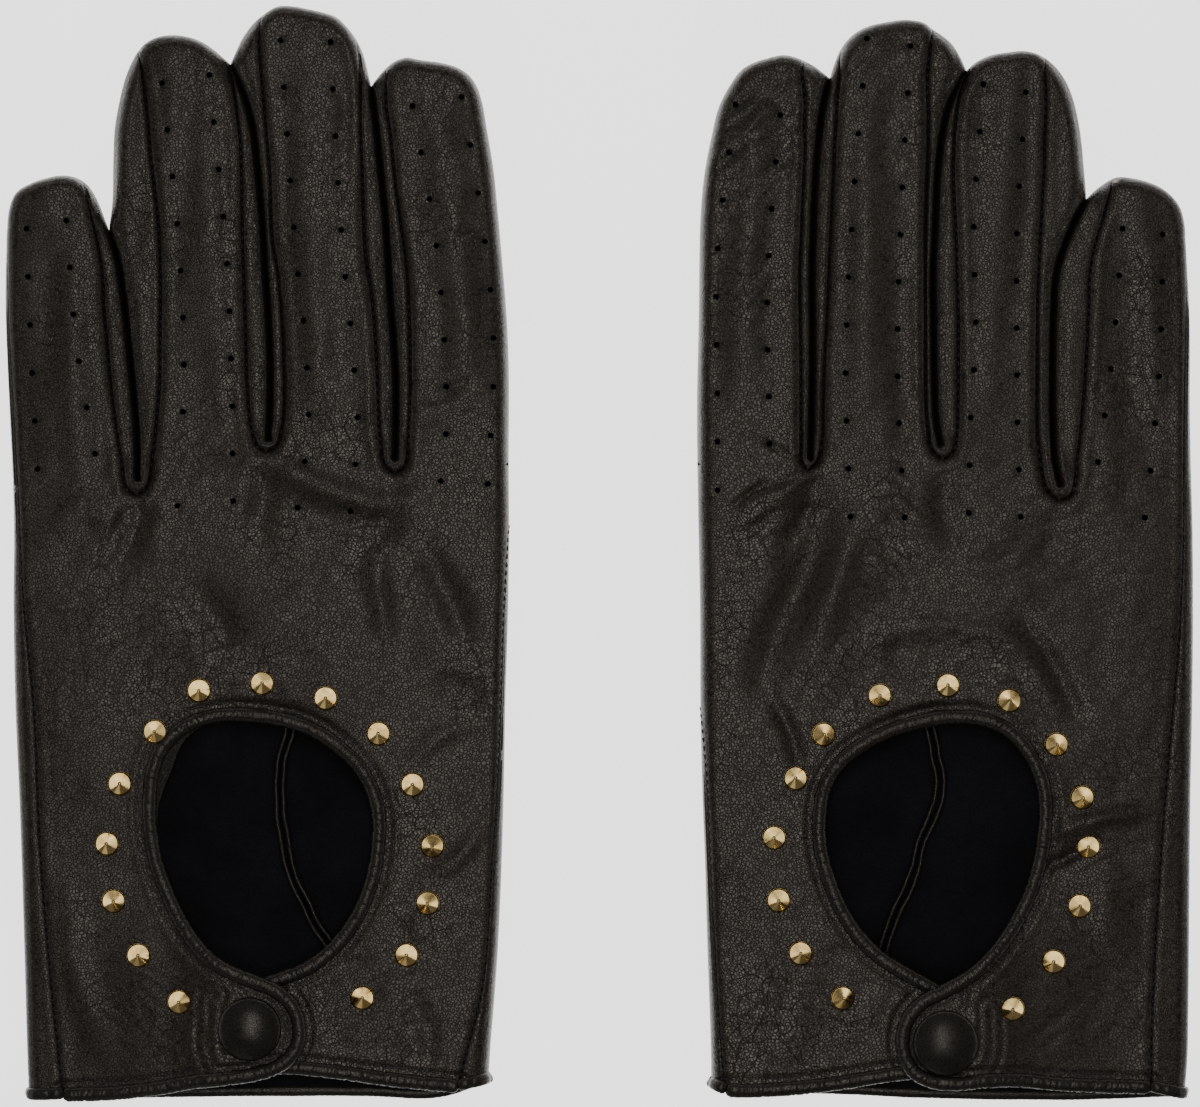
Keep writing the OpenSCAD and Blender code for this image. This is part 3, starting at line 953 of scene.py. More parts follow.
class Repeat:
    """A geometry-nodes tree that sets one small shape at many places."""

    def __init__(self, name: str, inputs: dict[str, float]) -> None:
        """Start the tree with its named inputs.

        Args:
            name: Name of the tree.
            inputs: Its sizes by name, in metres.
        """
        self.tree = bpy.data.node_groups.new(name, "GeometryNodeTree")
        face = self.tree.interface
        face.new_socket(name="Places", in_out="INPUT", socket_type="NodeSocketGeometry")
        self.sockets: dict[str, str] = {}
        self.values = inputs
        for label in inputs:
            self.sockets[label] = face.new_socket(
                name=label, in_out="INPUT", socket_type="NodeSocketFloat"
            ).identifier
        self.finish = face.new_socket(
            name="Finish", in_out="INPUT", socket_type="NodeSocketMaterial"
        ).identifier
        face.new_socket(name="Result", in_out="OUTPUT", socket_type="NodeSocketGeometry")
        self.start = add_node(self.tree, "NodeGroupInput")

    def close(self, instances: bpy.types.Node) -> None:
        """End the tree: make the copies real, give them their finish and put them out.

        Args:
            instances: Node that gives the copies.
        """
        real = add_node(self.tree, "GeometryNodeRealizeInstances", {}, {0: (instances, 0)})
        smooth = add_node(self.tree, "GeometryNodeSetShadeSmooth", {}, {0: (real, 0)})
        dressed = add_node(
            self.tree, "GeometryNodeSetMaterial", {}, {
                "Geometry": (smooth, 0), "Material": (self.start, "Finish")
            }
        )
        add_node(self.tree, "NodeGroupOutput", {}, {0: (dressed, 0)})

    def run(
        self,
        name: str,
        places: Array,
        edges: list,
        material: bpy.types.Material,
        directions: Array | None = None,
    ) -> bpy.types.Object:
        """Run the tree over some places.

        Args:
            name: Name of the piece.
            places: Points in millimetres.
            edges: Edges that join the points into lines, or none.
            material: Finish of the copies.
            directions: Direction that each copy faces, where they have one.

        Returns:
            A plain mesh object that holds all the copies.
        """
        seat = bpy.data.meshes.new(name + "_places")
        seat.from_pydata((places * MM).tolist(), edges, [])
        if directions is not None:
            facing = seat.attributes.new("facing", "FLOAT_VECTOR", "POINT")
            facing.data.foreach_set("vector", directions.astype(np.float32).ravel())
        holder = bpy.data.objects.new(name + "_places", seat)
        bpy.context.scene.collection.objects.link(holder)
        modifier = holder.modifiers.new(name, "NODES")
        modifier.node_group = self.tree
        for label, identifier in self.sockets.items():
            modifier[identifier] = float(self.values[label])
        modifier[self.finish] = material
        holder.update_tag()
        graph = bpy.context.evaluated_depsgraph_get()
        graph.update()
        mesh = bpy.data.meshes.new_from_object(holder.evaluated_get(graph), depsgraph=graph)
        mesh.name = name
        if not mesh.materials:
            mesh.materials.append(material)
        holder.modifiers.clear()
        bpy.data.objects.remove(holder)
        piece = bpy.data.objects.new(name, mesh)
        bpy.context.scene.collection.objects.link(piece)
        log.info("%s: %d faces", name, len(mesh.polygons))
        return piece


def facing_rotation(repeat: Repeat, axis: str) -> bpy.types.Node:
    """Node that turns each copy's axis to the direction stored on its place."""
    stored = add_node(
        repeat.tree, "GeometryNodeInputNamedAttribute", {"data_type": "FLOAT_VECTOR", "Name": "facing"}
    )
    return add_node(repeat.tree, "FunctionNodeAlignRotationToVector", {"axis": axis}, {"Vector": (stored, 0)})


def stitch_repeat() -> Repeat:
    """Tree that lays sunken stitches along a line, a little slanted.

    Returns:
        The tree, ready to run.
    """
    repeat = Repeat(
        "Stitches", {"Pitch": 1.75 * MM, "Length": 1.25 * MM, "Thickness": 0.34 * MM, "Slant": 0.12}
    )
    tree, start = repeat.tree, repeat.start
    line = add_node(tree, "GeometryNodeMeshToCurve", {}, {0: (start, "Places")})
    spaced = add_node(
        tree, "GeometryNodeResampleCurve", {"mode": "LENGTH"}, {"Curve": (line, 0), "Length": (start, "Pitch")}
    )
    along = add_node(tree, "GeometryNodeInputTangent")
    turn = add_node(tree, "FunctionNodeAlignRotationToVector", {"axis": "X"}, {"Vector": (along, 0)})
    jitter = add_node(
        tree, "FunctionNodeRandomValue", {"data_type": "FLOAT", 2: -0.06, 3: 0.06, "Seed": 7}
    )
    lean = add_node(tree, "ShaderNodeMath", {"operation": "ADD"}, {0: (start, "Slant"), 1: (jitter, 1)})
    axis = add_node(tree, "ShaderNodeCombineXYZ", {}, {"Z": (lean, 0)})
    slant = add_node(tree, "FunctionNodeEulerToRotation", {}, {0: (axis, 0)})
    both = add_node(
        tree, "FunctionNodeRotateRotation", {"rotation_space": "LOCAL"}, {
            "Rotation": (turn, 0), "Rotate By": (slant, 0)
        }
    )
    size = add_node(
        tree, "ShaderNodeCombineXYZ", {}, {
            "X": (start, "Length"), "Y": (start, "Thickness"), "Z": (start, "Thickness")
        }
    )
    bead = add_node(tree, "GeometryNodeMeshUVSphere", {"Segments": 8, "Rings": 6, "Radius": 0.5})
    copies = add_node(
        tree, "GeometryNodeInstanceOnPoints", {},
        {"Points": (spaced, 0), "Instance": (bead, 0), "Rotation": (both, 0), "Scale": (size, 0)},
    )
    repeat.close(copies)
    return repeat


def stud_repeat() -> Repeat:
    """Tree that sets a spun cone stud at each place.

    Returns:
        The tree, ready to run.
    """
    repeat = Repeat(
        "Cone_studs",
        {"Radius": 2.65 * MM, "Shoulder": 2.48 * MM, "Height": 2.1 * MM, "Rim": 0.55 * MM, "Point": 0.16 * MM},
    )
    tree, start = repeat.tree, repeat.start
    rim = add_node(
        tree, "GeometryNodeMeshCone", {"Vertices": 48, "Side Segments": 3},
        {"Radius Top": (start, "Shoulder"), "Radius Bottom": (start, "Radius"), "Depth": (start, "Rim")},
    )
    cone = add_node(
        tree, "GeometryNodeMeshCone", {"Vertices": 48, "Side Segments": 8},
        {"Radius Top": (start, "Point"), "Radius Bottom": (start, "Shoulder"), "Depth": (start, "Height")},
    )
    lift = add_node(tree, "ShaderNodeCombineXYZ", {}, {"Z": (start, "Rim")})
    raised = add_node(tree, "GeometryNodeTransform", {}, {"Geometry": (cone, 0), "Translation": (lift, 0)})
    stud = add_node(tree, "GeometryNodeJoinGeometry")
    tree.links.new(rim.outputs[0], stud.inputs[0])
    tree.links.new(raised.outputs[0], stud.inputs[0])
    copies = add_node(
        tree, "GeometryNodeInstanceOnPoints", {},
        {"Points": (start, "Places"), "Instance": (stud, 0), "Rotation": (facing_rotation(repeat, "Z"), 0)},
    )
    repeat.close(copies)
    return repeat


def rim_repeat() -> Repeat:
    """Tree that sets the rolled edge of a punched hole at each place.

    Returns:
        The tree, ready to run.
    """
    repeat = Repeat("Punched_rims", {"Hole": 0.66 * MM, "Roll": 0.1 * MM})
    tree, start = repeat.tree, repeat.start
    ring = add_node(tree, "GeometryNodeCurvePrimitiveCircle", {"Resolution": 12}, {"Radius": (start, "Hole")})
    wire = add_node(tree, "GeometryNodeCurvePrimitiveCircle", {"Resolution": 6}, {"Radius": (start, "Roll")})
    roll = add_node(tree, "GeometryNodeCurveToMesh", {}, {0: (ring, 0), 1: (wire, 0)})
    copies = add_node(
        tree, "GeometryNodeInstanceOnPoints", {},
        {"Points": (start, "Places"), "Instance": (roll, 0), "Rotation": (facing_rotation(repeat, "Z"), 0)},
    )
    repeat.close(copies)
    return repeat


# ---------------------------------------------------------------- the two gloves' patterns


@dataclass(frozen=True)
class Row:
    """A row of punched holes, evenly spaced along a line."""

    line: Path
    count: int


@dataclass(frozen=True)
class Pattern:
    """Everything that is particular to one glove, in millimetres, with fingers listed from -X to +X."""

    side: str
    fingers: tuple[str, str, str, str]
    roots: tuple[float, float, float, float]
    centres: tuple[float, float, float, float]
    rims: tuple[Path, Path, Path, Path]
    descents: tuple[Path, Path, Path]
    ascents: tuple[Path, Path, Path]
    valleys: tuple[Path, Path, Path]
    side_seams: tuple[Path, Path]
    binding: Path
    tab_start: Point
    tab_end: Point
    underlap: Path
    palm_hem: Path
    thumb_seam: Path
    studs: tuple[Point, ...]
    cap: Point
    cap_radius: float
    rows: tuple[Row, ...]
    folds: tuple[Fold, ...]
    puckers: tuple[Puckers, ...]
    facing_shows: float = 0.0

    @property
    def outward(self) -> int:
        """-1 for the left glove and 1 for the right: the little finger's direction along X."""
        return -1 if self.side == "left" else 1

    def inward_x(self, x: Array) -> Array:
        """Place across the glove, from its centre line towards the index side."""
        return 72.5 - self.outward * x


LEFT = Pattern(
    side="left",
    fingers=("pinky", "ring", "middle", "index"),
    roots=(13.5, 22.3, 22.3, 18.6),
    centres=(-111, -82, -56, -31),
    rims=(
        (
            (-120.1, -113.6), (-120.4, -105), (-121, -84), (-122, -53), (-122.9, -32), (-123.3, -11),
            (-123.2, 7), (-124, 25), (-124.7, 40), (-125.1, 52), (-125, 62), (-124.8, 68), (-124.2, 73),
            (-123, 75.8), (-120, 77.8), (-116.5, 79), (-113, 79.6), (-110.5, 79.2), (-108, 77.7),
            (-106.3, 75.3), (-105, 72.5), (-103.9, 69.7), (-103.2, 68),
        ),
        (
            (-103.2, 68), (-102.6, 75), (-102.5, 82), (-102.1, 90), (-101.2, 95), (-100, 99.8), (-98.5, 103.5),
            (-97, 106), (-95.2, 107.7), (-93, 108.7), (-90.5, 109.1), (-87, 108.8), (-84, 107.8),
            (-81.5, 106.2), (-79.5, 104.5), (-77.7, 102.8),
        ),
        (
            (-77.7, 102.8), (-76.8, 105), (-75.5, 108), (-74, 110.3), (-72, 112.5), (-70, 114), (-67.5, 115.2),
            (-65, 115.2), (-61, 114.5), (-58, 113.8), (-55.5, 112.9), (-53.6, 111.2), (-51.5, 108.5),
            (-50, 105.5), (-49, 102), (-48.1, 98.2),
        ),
        (
            (-48.1, 98.2), (-46.5, 100.5), (-45, 102.2), (-43, 103.7), (-40.8, 104.4), (-38, 103.9),
            (-33, 103.2), (-30, 102.3), (-27.5, 100.6), (-26, 98.5), (-24.8, 95), (-24, 90.5), (-22.3, 80),
            (-21.5, 72), (-20.6, 62), (-20, 55), (-19.5, 48), (-19.2, 40), (-19.2, 20), (-19.1, 5),
            (-19.3, -11), (-19.9, -32), (-20.3, -53), (-21, -74), (-21.5, -84), (-22.3, -95), (-23.1, -105),
            (-23.4, -110.2),
        ),
    ),
    descents=(
        (
            (-108.8, 78.2), (-107.5, 74), (-106.5, 70), (-105.5, 66), (-104.7, 62), (-104, 52), (-103.2, 43),
            (-102.3, 34), (-101.3, 26), (-100.4, 20), (-99.8, 15.5), (-98.9, 13.2), (-97.2, 12.4),
        ),
        (
            (-77.6, 102.7), (-76.9, 99), (-76.4, 95), (-75.5, 87), (-75.2, 78), (-74.8, 60), (-74.5, 52),
            (-74.2, 42), (-73.9, 34), (-73.4, 28), (-72.6, 24), (-71.5, 22), (-70, 21.4),
        ),
        (
            (-51.3, 108.3), (-50.6, 103), (-50.2, 98), (-50.1, 87), (-49.8, 80), (-49.5, 68), (-49.1, 62),
            (-48, 55), (-47.3, 47), (-46.8, 38), (-46.6, 30), (-46.3, 25), (-45.6, 20.5), (-44.6, 18),
            (-43, 17),
        ),
    ),
    ascents=(
        (
            (-97.2, 12.4), (-95.4, 13.4), (-94.6, 15.5), (-93.9, 20), (-93.2, 26), (-92.6, 32), (-92.2, 38),
            (-92.2, 46), (-92.3, 62), (-92.7, 70), (-93.3, 76), (-93.9, 81), (-94.6, 88), (-95.2, 94),
            (-96.2, 101), (-97, 106),
        ),
        (
            (-70, 21.4), (-68.4, 22), (-67.3, 24), (-66.6, 27.5), (-66.3, 33), (-66.4, 40), (-67, 52),
            (-67.8, 60), (-68.8, 66), (-69.2, 79), (-69.7, 85), (-70.6, 95), (-71.3, 102), (-71.6, 108),
            (-71, 113.2),
        ),
        (
            (-43, 17), (-41.5, 17.7), (-40.6, 19.6), (-40.2, 23), (-39.9, 30), (-39.8, 40), (-40, 50),
            (-40.5, 58), (-41.3, 65), (-42.3, 72), (-43.2, 80), (-43.8, 87), (-44.6, 92), (-45, 97),
            (-44.8, 102.3),
        ),
    ),
    valleys=(
        ((-97, 15.6), (-97, 22), (-97.5, 30), (-98.3, 38), (-99, 45), (-100, 54), (-101.3, 62), (-103.2, 68)),
        (
            (-69.6, 24), (-69.2, 32), (-69.2, 40), (-69.6, 50), (-70.3, 60), (-70.9, 70), (-71.8, 80),
            (-73, 90), (-75, 97), (-77.7, 102.8),
        ),
        (
            (-43, 19.8), (-42.8, 30), (-42.9, 38), (-43.3, 45), (-43.9, 52), (-44.5, 62), (-45, 70), (-46, 80),
            (-47, 90), (-48.1, 98.2),
        ),
    ),
    side_seams=(
        (
            (-112.6, -113.4), (-113.6, -104), (-114.6, -94), (-117.3, -62), (-118.7, -31), (-120.8, -10),
            (-121.9, 10), (-122.7, 24), (-123.5, 38), (-124.1, 50), (-124.4, 60), (-124.8, 68),
        ),
        (
            (-29.6, -111.6), (-28.6, -107), (-25.3, -94), (-22.5, -63), (-21.7, -52), (-20.9, -35),
            (-20.1, -12), (-19.6, -3), (-19.1, 6),
        ),
    ),
    binding=(
        (-72.5, -91), (-67, -89.2), (-62, -87.2), (-57, -83.8), (-52.5, -78.8), (-49.3, -73), (-47.3, -67),
        (-46.3, -60), (-46.3, -55), (-47.5, -50), (-50.5, -44.5), (-55, -40.3), (-60, -37), (-65, -35.2),
        (-70, -34.2), (-76, -33.7), (-80.5, -34), (-85, -35.3), (-89.2, -37.8), (-92, -41), (-93.7, -45.5),
        (-94.4, -51), (-94.3, -57), (-93.2, -64), (-90.8, -71), (-87.6, -77.5), (-84.2, -82.3), (-80, -86),
        (-75.5, -88.3), (-71.5, -89.8), (-67, -92), (-64.2, -94.9), (-63, -98.5), (-63.1, -102), (-64.7, -105),
        (-67.6, -107.3), (-72, -108.8), (-78, -109.7), (-85, -110.5), (-92, -111.8), (-100, -112.9),
        (-112.6, -113.4),
    ),
    tab_start=(-88.5, -75.8),
    tab_end=(-88.5, -111.1),
    underlap=(
        (-72.5, -91), (-78, -91.4), (-81.4, -93), (-81.7, -97), (-81.7, -104), (-80.4, -107), (-76, -107.4),
        (-64, -107.7), (-55, -108.7), (-47, -109.8), (-40, -110.6), (-34, -111.2), (-29.6, -111.6),
    ),
    palm_hem=((-120.1, -113.6), (-100, -113.9), (-80, -113.6), (-50, -113.5), (-32, -113.4), (-23.4, -110.2)),
    thumb_seam=(
        (-64.9, -34), (-65.5, -38), (-67, -44), (-67.3, -50), (-67, -56), (-66, -62), (-64.5, -68),
        (-62.3, -73), (-60, -77.5), (-57, -82), (-55, -87),
    ),
    studs=(
        (-84, -28.7), (-70.8, -27.2), (-57.5, -30.3), (-46.4, -37.7), (-39.3, -48.4), (-35.1, -61.2),
        (-36.1, -73.2), (-40.5, -84.1), (-49.8, -93.1), (-93.2, -37.3), (-100.6, -48.2), (-103.3, -60.8),
        (-101.9, -72.8), (-96.6, -84.1), (-88, -93.8),
    ),
    cap=(-73.2, -99.4),
    cap_radius=6.65,
    rows=(
        Row(((-120.3, 68.1), (-119.5, 47.1), (-118, 17.7)), 6),
        Row(((-111.9, 69.8), (-109.2, 40.4), (-105.8, 20.9)), 6),
        Row(((-91.8, 98.6), (-88.6, 68.4), (-87.2, 39), (-88.6, 10)), 10),
        Row(((-81.9, 100.3), (-78.1, 59.3), (-77.3, 39.6), (-76.9, 11)), 10),
        Row(((-67, 107.6), (-64.1, 67.1), (-61.3, 36.6), (-61.1, 27), (-63.4, 9.6)), 11),
        Row(((-56.5, 107.2), (-54.2, 67.3), (-51.5, 37.9), (-50.8, 27.6), (-52.3, 8.9)), 11),
        Row(((-39.3, 93.8), (-34.2, 63.7), (-32.6, 43.6), (-32.3, 24.7), (-33.4, 15.2)), 9),
        Row(((-29, 95.7), (-25.4, 74.7), (-22.3, 44.4), (-23.5, 14.6)), 9),
    ),
    folds=(
        Fold(((-83, -32.2), (-72, -31.6), (-62, -33.6), (-52, -39.4)), -0.55, 1.5),
        Fold(((-97, 12), (-98, 5), (-101, -3)), -0.7, 3.0),
        Fold(((-70, 20), (-70.5, 12), (-72, 4)), -0.6, 3.2),
        Fold(((-43, 16), (-44.5, 8), (-48, 0)), -0.6, 3.2),
        Fold(((-44, 36), (-36, 34), (-27, 35)), -0.35, 1.6),
        Fold(((-42, 24), (-34, 30), (-26, 32)), 0.35, 2.4),
        Fold(((-112, 74), (-110.5, 42), (-108, 16)), 0.55, 4.0),
        Fold(((-84.5, 94), (-82.3, 70), (-81.5, 28)), 0.6, 4.2),
        Fold(((-88.5, 100), (-91, 80), (-90, 60)), 0.3, 2.5),
        Fold(((-61.5, 106), (-60.5, 78), (-59.5, 48), (-57, 28)), 0.65, 4.2),
        Fold(((-55, 104), (-53, 92), (-54, 82)), -0.35, 2.2),
        Fold(((-37, 96), (-32, 82), (-30.3, 60), (-28.5, 32)), 0.6, 4.2),
        Fold(((-77, 20), (-66, 17.5), (-56, 13), (-42, 10.8), (-33, 16)), 0.8, 2.8),
        Fold(((-70, 12), (-58, 7), (-44, 4)), -0.4, 3.5),
        Fold(((-88, -6), (-81, -13), (-76, -20)), -0.8, 4.5),
        Fold(((-47, 2), (-46, -10), (-44, -20)), 0.55, 2.4),
        Fold(((-37, 2), (-32, -8), (-27, -20)), -0.7, 3.0),
        Fold(((-35, -26), (-29, -29), (-23, -29)), -0.6, 3.2),
        Fold(((-40, -44), (-33, -38), (-25, -36)), 0.4, 2.2),
        Fold(((-36, -68), (-30, -64), (-24, -56)), 0.5, 2.0),
        Fold(((-115, 4), (-108, 10), (-100, 6)), 0.5, 3.5),
        Fold(((-112, -70), (-109, -90), (-103, -106)), 0.45, 3.0),
        Fold(((-40, -92), (-36, -101), (-36, -108)), -0.4, 2.5),
    ),
    puckers=(
        Puckers((-46, -92), 15, 20, 0.15),
        Puckers((-92, -97), 14, -35, 0.07),
        Puckers((-33, 36), 12, 10, 0.16),
        Puckers((-33, 78), 14, 60, 0.08),
        Puckers((-97, 6), 12, 80, 0.12),
        Puckers((-70, -28), 20, 5, 0.1, 1.8),
    ),
    facing_shows=2.5,
)

RIGHT = Pattern(
    side="right",
    fingers=("index", "middle", "ring", "pinky"),
    roots=(18.6, 22.3, 22.3, 13.5),
    centres=(31.5, 57.5, 83.5, 111),
    rims=(
        (
            (23.4, -111.2), (23.3, -105), (23, -95), (22.6, -84), (22, -63), (21.6, -53), (21.1, -32),
            (21, -11), (20.6, 10), (20.4, 31), (20.8, 52), (20.9, 62), (21.1, 70), (21.5, 76), (22.3, 82),
            (23.5, 88), (25, 94), (27, 98), (30, 102), (35, 104.2), (39, 104.9), (42.5, 103.9), (45, 102.6),
            (47, 101), (48.3, 99.9),
        ),
        (
            (48.3, 99.9), (49.5, 103.6), (51, 106.7), (53, 109), (56, 110.8), (60, 111.8), (65, 112.3),
            (68.3, 111.6), (70.2, 110.2), (72, 109), (74, 107.3), (75.5, 105), (77, 101.5),
        ),
        (
            (77, 101.5), (79, 103.3), (82, 104.8), (86, 105.5), (89, 105.8), (91.5, 105.3), (93.8, 104.2),
            (96, 102.3), (98, 99.5), (99.5, 96), (100.5, 92), (101.2, 88), (101.8, 82), (102.1, 78),
            (102.2, 74.5),
        ),
        (
            (102.2, 74.5), (104, 76.3), (106, 77.8), (108.8, 79.2), (112, 79), (115, 78.3), (118, 77),
            (120.5, 75), (122, 73), (122.9, 70), (123.3, 65), (123.7, 58), (124.1, 48), (124.1, 31),
            (124.5, 10), (124.7, -11), (124.5, -32), (124.1, -53), (123.9, -74), (123.7, -95), (123.5, -106),
            (122.9, -113.5),
        ),
    ),
    descents=(
        (
            (42.8, 103.8), (42.4, 101), (43, 95), (42.8, 90), (43, 85), (42.7, 78), (42.3, 68), (42, 60),
            (42, 50), (42.1, 40), (42.1, 30), (42.2, 22.5), (42.5, 19), (43.6, 17.7),
        ),
        (
            (69.7, 110.5), (69.5, 107), (68.9, 103), (68.6, 98), (68.9, 91), (68.9, 85), (68.6, 76), (68.3, 62),
            (68.3, 50), (68.3, 40), (68.4, 32), (68.9, 25.5), (69.7, 21.8), (71.8, 19.8),
        ),
        (
            (93.3, 104.4), (93.5, 100), (93.5, 95), (93.3, 88), (93.1, 80), (92.7, 73), (92.1, 62), (91.7, 50),
            (91.7, 40), (91.7, 30), (91.9, 23), (92.5, 18), (93.9, 13.2), (96.2, 11.2),
        ),
    ),
    ascents=(
        (
            (43.6, 17.7), (45.2, 19.2), (46.3, 22.5), (46.7, 31), (47.1, 41), (47.6, 51), (48, 61), (48.5, 72),
            (49, 81), (49.5, 90), (50, 98), (50.6, 105.9),
        ),
        (
            (71.8, 19.8), (73.6, 20.6), (74.8, 24), (75.1, 30), (75.2, 40), (75, 60), (74.6, 70), (74.1, 80),
            (74.2, 86), (74.7, 92), (75.4, 97), (77.6, 102),
        ),
        (
            (96.2, 11.2), (98.4, 12), (99.6, 14.8), (100.1, 20), (100.6, 25), (101.2, 31), (102, 41),
            (102.5, 50), (103, 60), (104.1, 66), (105.3, 70), (106.5, 74.5), (107.8, 78.7),
        ),
    ),
    valleys=(
        (
            (44.1, 19.9), (44.4, 30), (44.6, 42), (44.5, 60), (44.8, 70), (45.3, 80), (46, 88), (46.8, 94),
            (48.3, 99.9),
        ),
        (
            (71.4, 22.8), (70.5, 28), (70.2, 35), (70, 48), (69.9, 60), (70.3, 68), (71, 82), (71.8, 88),
            (73.2, 94), (77, 101.5),
        ),
        (
            (96.4, 14.4), (95.4, 19), (95, 26), (94.9, 40), (95.1, 50), (96, 60), (98, 66), (100, 70.5),
            (102.2, 74.5),
        ),
    ),
    side_seams=(
        ((26.3, -112.5), (25.8, -108), (25, -98), (23.4, -70), (22.3, -47), (21.1, -33)),
        (
            (115.5, -111.8), (115.5, -104), (116.2, -85), (117.3, -66), (119.2, -42), (121.3, -18), (122.2, 0),
            (122.4, 15), (122.5, 30), (122.8, 44), (123.1, 56), (123.2, 66.5),
        ),
    ),
    binding=(
        (74, -93.5), (71, -92), (67.5, -90), (62, -87), (57, -83.3), (52.5, -78), (49.3, -72), (47.2, -66),
        (46, -60), (46, -54), (47, -49), (50, -44), (55, -40), (62, -36.7), (68, -35), (74, -34.2), (80, -34.6),
        (85, -36.6), (89, -40.5), (91.9, -45.5), (93.3, -51), (93.3, -57), (92.6, -63), (91, -69), (88.4, -75),
        (85, -80.6), (81, -85.4), (76.5, -89), (72, -91.5), (67.5, -93.8), (64.5, -97), (63.2, -101),
        (63.6, -105), (65.8, -108.5), (69.5, -110.3), (74, -110.8), (80, -110.3), (86, -110.1), (95, -110.9),
        (105, -111.5), (115.5, -111.8),
    ),
    tab_start=(88.5, -74.8),
    tab_end=(88.5, -110.3),
    underlap=(
        (74, -93.5), (79, -93.2), (81.5, -95), (81.7, -99), (81.7, -104), (80.2, -107.4), (74, -108.4),
        (66, -108.6), (60, -109.3), (50, -110.9), (40, -112.1), (33, -112.5), (26.3, -112.5),
    ),
    palm_hem=(
        (23.4, -111.2), (30, -112.3), (40, -112.8), (52, -113.2), (65, -113.8), (80, -114.2), (100, -114.3),
        (122.9, -113.5),
    ),
    thumb_seam=(
        (69, -33), (69.5, -37), (70.5, -42), (71.5, -47), (71.3, -51.5), (69.5, -56), (67.5, -61), (66.3, -66),
        (64.5, -71), (62.5, -75), (60.5, -80), (59, -86),
    ),
    studs=(
        (72.9, -27.6), (85.7, -30.8), (95.6, -40), (101, -51.1), (102.3, -61.4), (100.4, -73.8), (94.9, -85.4),
        (86.3, -95.2), (58.6, -29.7), (46.8, -37.9), (41, -47.1), (36.5, -59.5), (37.4, -72.6), (42, -83.7),
        (50.8, -93.1),
    ),
    cap=(72.2, -102.3),
    cap_radius=6.85,
    rows=(
        Row(((28.4, 94.2), (24.6, 62.5), (24.6, 32.9), (24.6, 13.3)), 9),
        Row(((37.8, 91.9), (35.3, 62.1), (35.5, 23)), 8),
        Row(((55.9, 108), (53.3, 77.4), (51.5, 37.3), (52.5, 7.7)), 11),
        Row(((65.1, 106.4), (63.4, 76.8), (62.4, 36.4), (63.8, 7.5)), 11),
        Row(((80.4, 98.4), (78.3, 67.5), (78.8, 47.1), (77.7, 28), (77.3, 8.5)), 10),
        Row(((89.3, 96.7), (87.4, 66.9), (87.4, 46.7), (87.8, 16.7), (88.2, 7.7)), 10),
        Row(((109.6, 68.1), (107.1, 38.3), (104.4, 19.2)), 6),
        Row(((118, 66.9), (117.6, 45.7), (115.3, 16.5), (114.2, 7.5)), 7),
    ),
    folds=(
        Fold(((55, -38.3), (63, -34.4), (70, -32.4), (79, -32.6)), -0.55, 1.5),
        Fold(((43.5, 17.8), (38, 15), (33, 13.2), (26, 9)), -0.6, 0.6),
        Fold(((43, 14.5), (36, 11.5), (30, 7)), 0.5, 2.6),
        Fold(((42.5, 19), (36, 22.6), (29, 26)), -0.4, 0.55),
        Fold(((46, 16), (43, 9), (38, 0)), -0.6, 2.0),
        Fold(((72, 18.5), (72, 10), (74, 0)), -0.6, 3.4),
        Fold(((96, 10), (95, 4), (92, -4)), -0.5, 3.2),
        Fold(((114, -54), (103, -56), (98.5, -57.5), (95, -60)), 0.9, 2.0),
        Fold(((106, -60.5), (99, -63), (92, -67)), -0.7, 1.2),
        Fold(((26, 93), (33, 96), (41, 92)), -0.4, 1.2),
        Fold(((25, 84), (32, 90), (40, 98)), 0.4, 2.2),
        Fold(((24, 76), (32, 78), (41, 86)), -0.4, 1.6),
        Fold(((48, 12), (43, -4), (37, -18), (33, -30)), -1.0, 4.0),
        Fold(((53, 6), (49, -8), (44, -22)), 0.6, 3.2),
        Fold(((52, -21), (62, -16.5), (74, -15), (86, -19), (94, -28)), 0.5, 2.4),
        Fold(((87, -12), (94, -22), (101, -36)), -0.55, 2.0),
        Fold(((36, -30), (40, -38), (42, -46)), -0.6, 1.6),
        Fold(((84, 96), (83.2, 60), (82.5, 24)), 0.6, 4.2),
        Fold(((58, 104), (56, 70), (57.5, 26)), 0.55, 4.2),
        Fold(((31, 70), (30, 45), (30, 26)), 0.55, 4.2),
        Fold(((112, 70), (112, 45), (111, 22)), -0.45, 3.4),
        Fold(((117, 68), (116, 56), (115, 44)), 0.4, 2.6),
        Fold(((110, -86), (106, -72), (108, -62)), 0.5, 4.0),
        Fold(((66, 4), (74, 0), (84, 3)), 0.4, 4.0),
    ),
    puckers=(
        Puckers((44, -93), 15, -20, 0.15),
        Puckers((95, -99), 14, 30, 0.08),
        Puckers((37, 14), 12, 30, 0.16),
        Puckers((33, 88), 15, 45, 0.2),
        Puckers((33, 55), 12, 50, 0.1),
        Puckers((95, 4), 18, 15, 0.13),
        Puckers((66, 12), 16, -20, 0.12),
        Puckers((58, 100), 14, 40, 0.12),
        Puckers((104, -62), 12, 15, 0.14),
        Puckers((72, -28), 20, -5, 0.1, 1.8),
    ),
)


# ---------------------------------------------------------------- the form of one glove


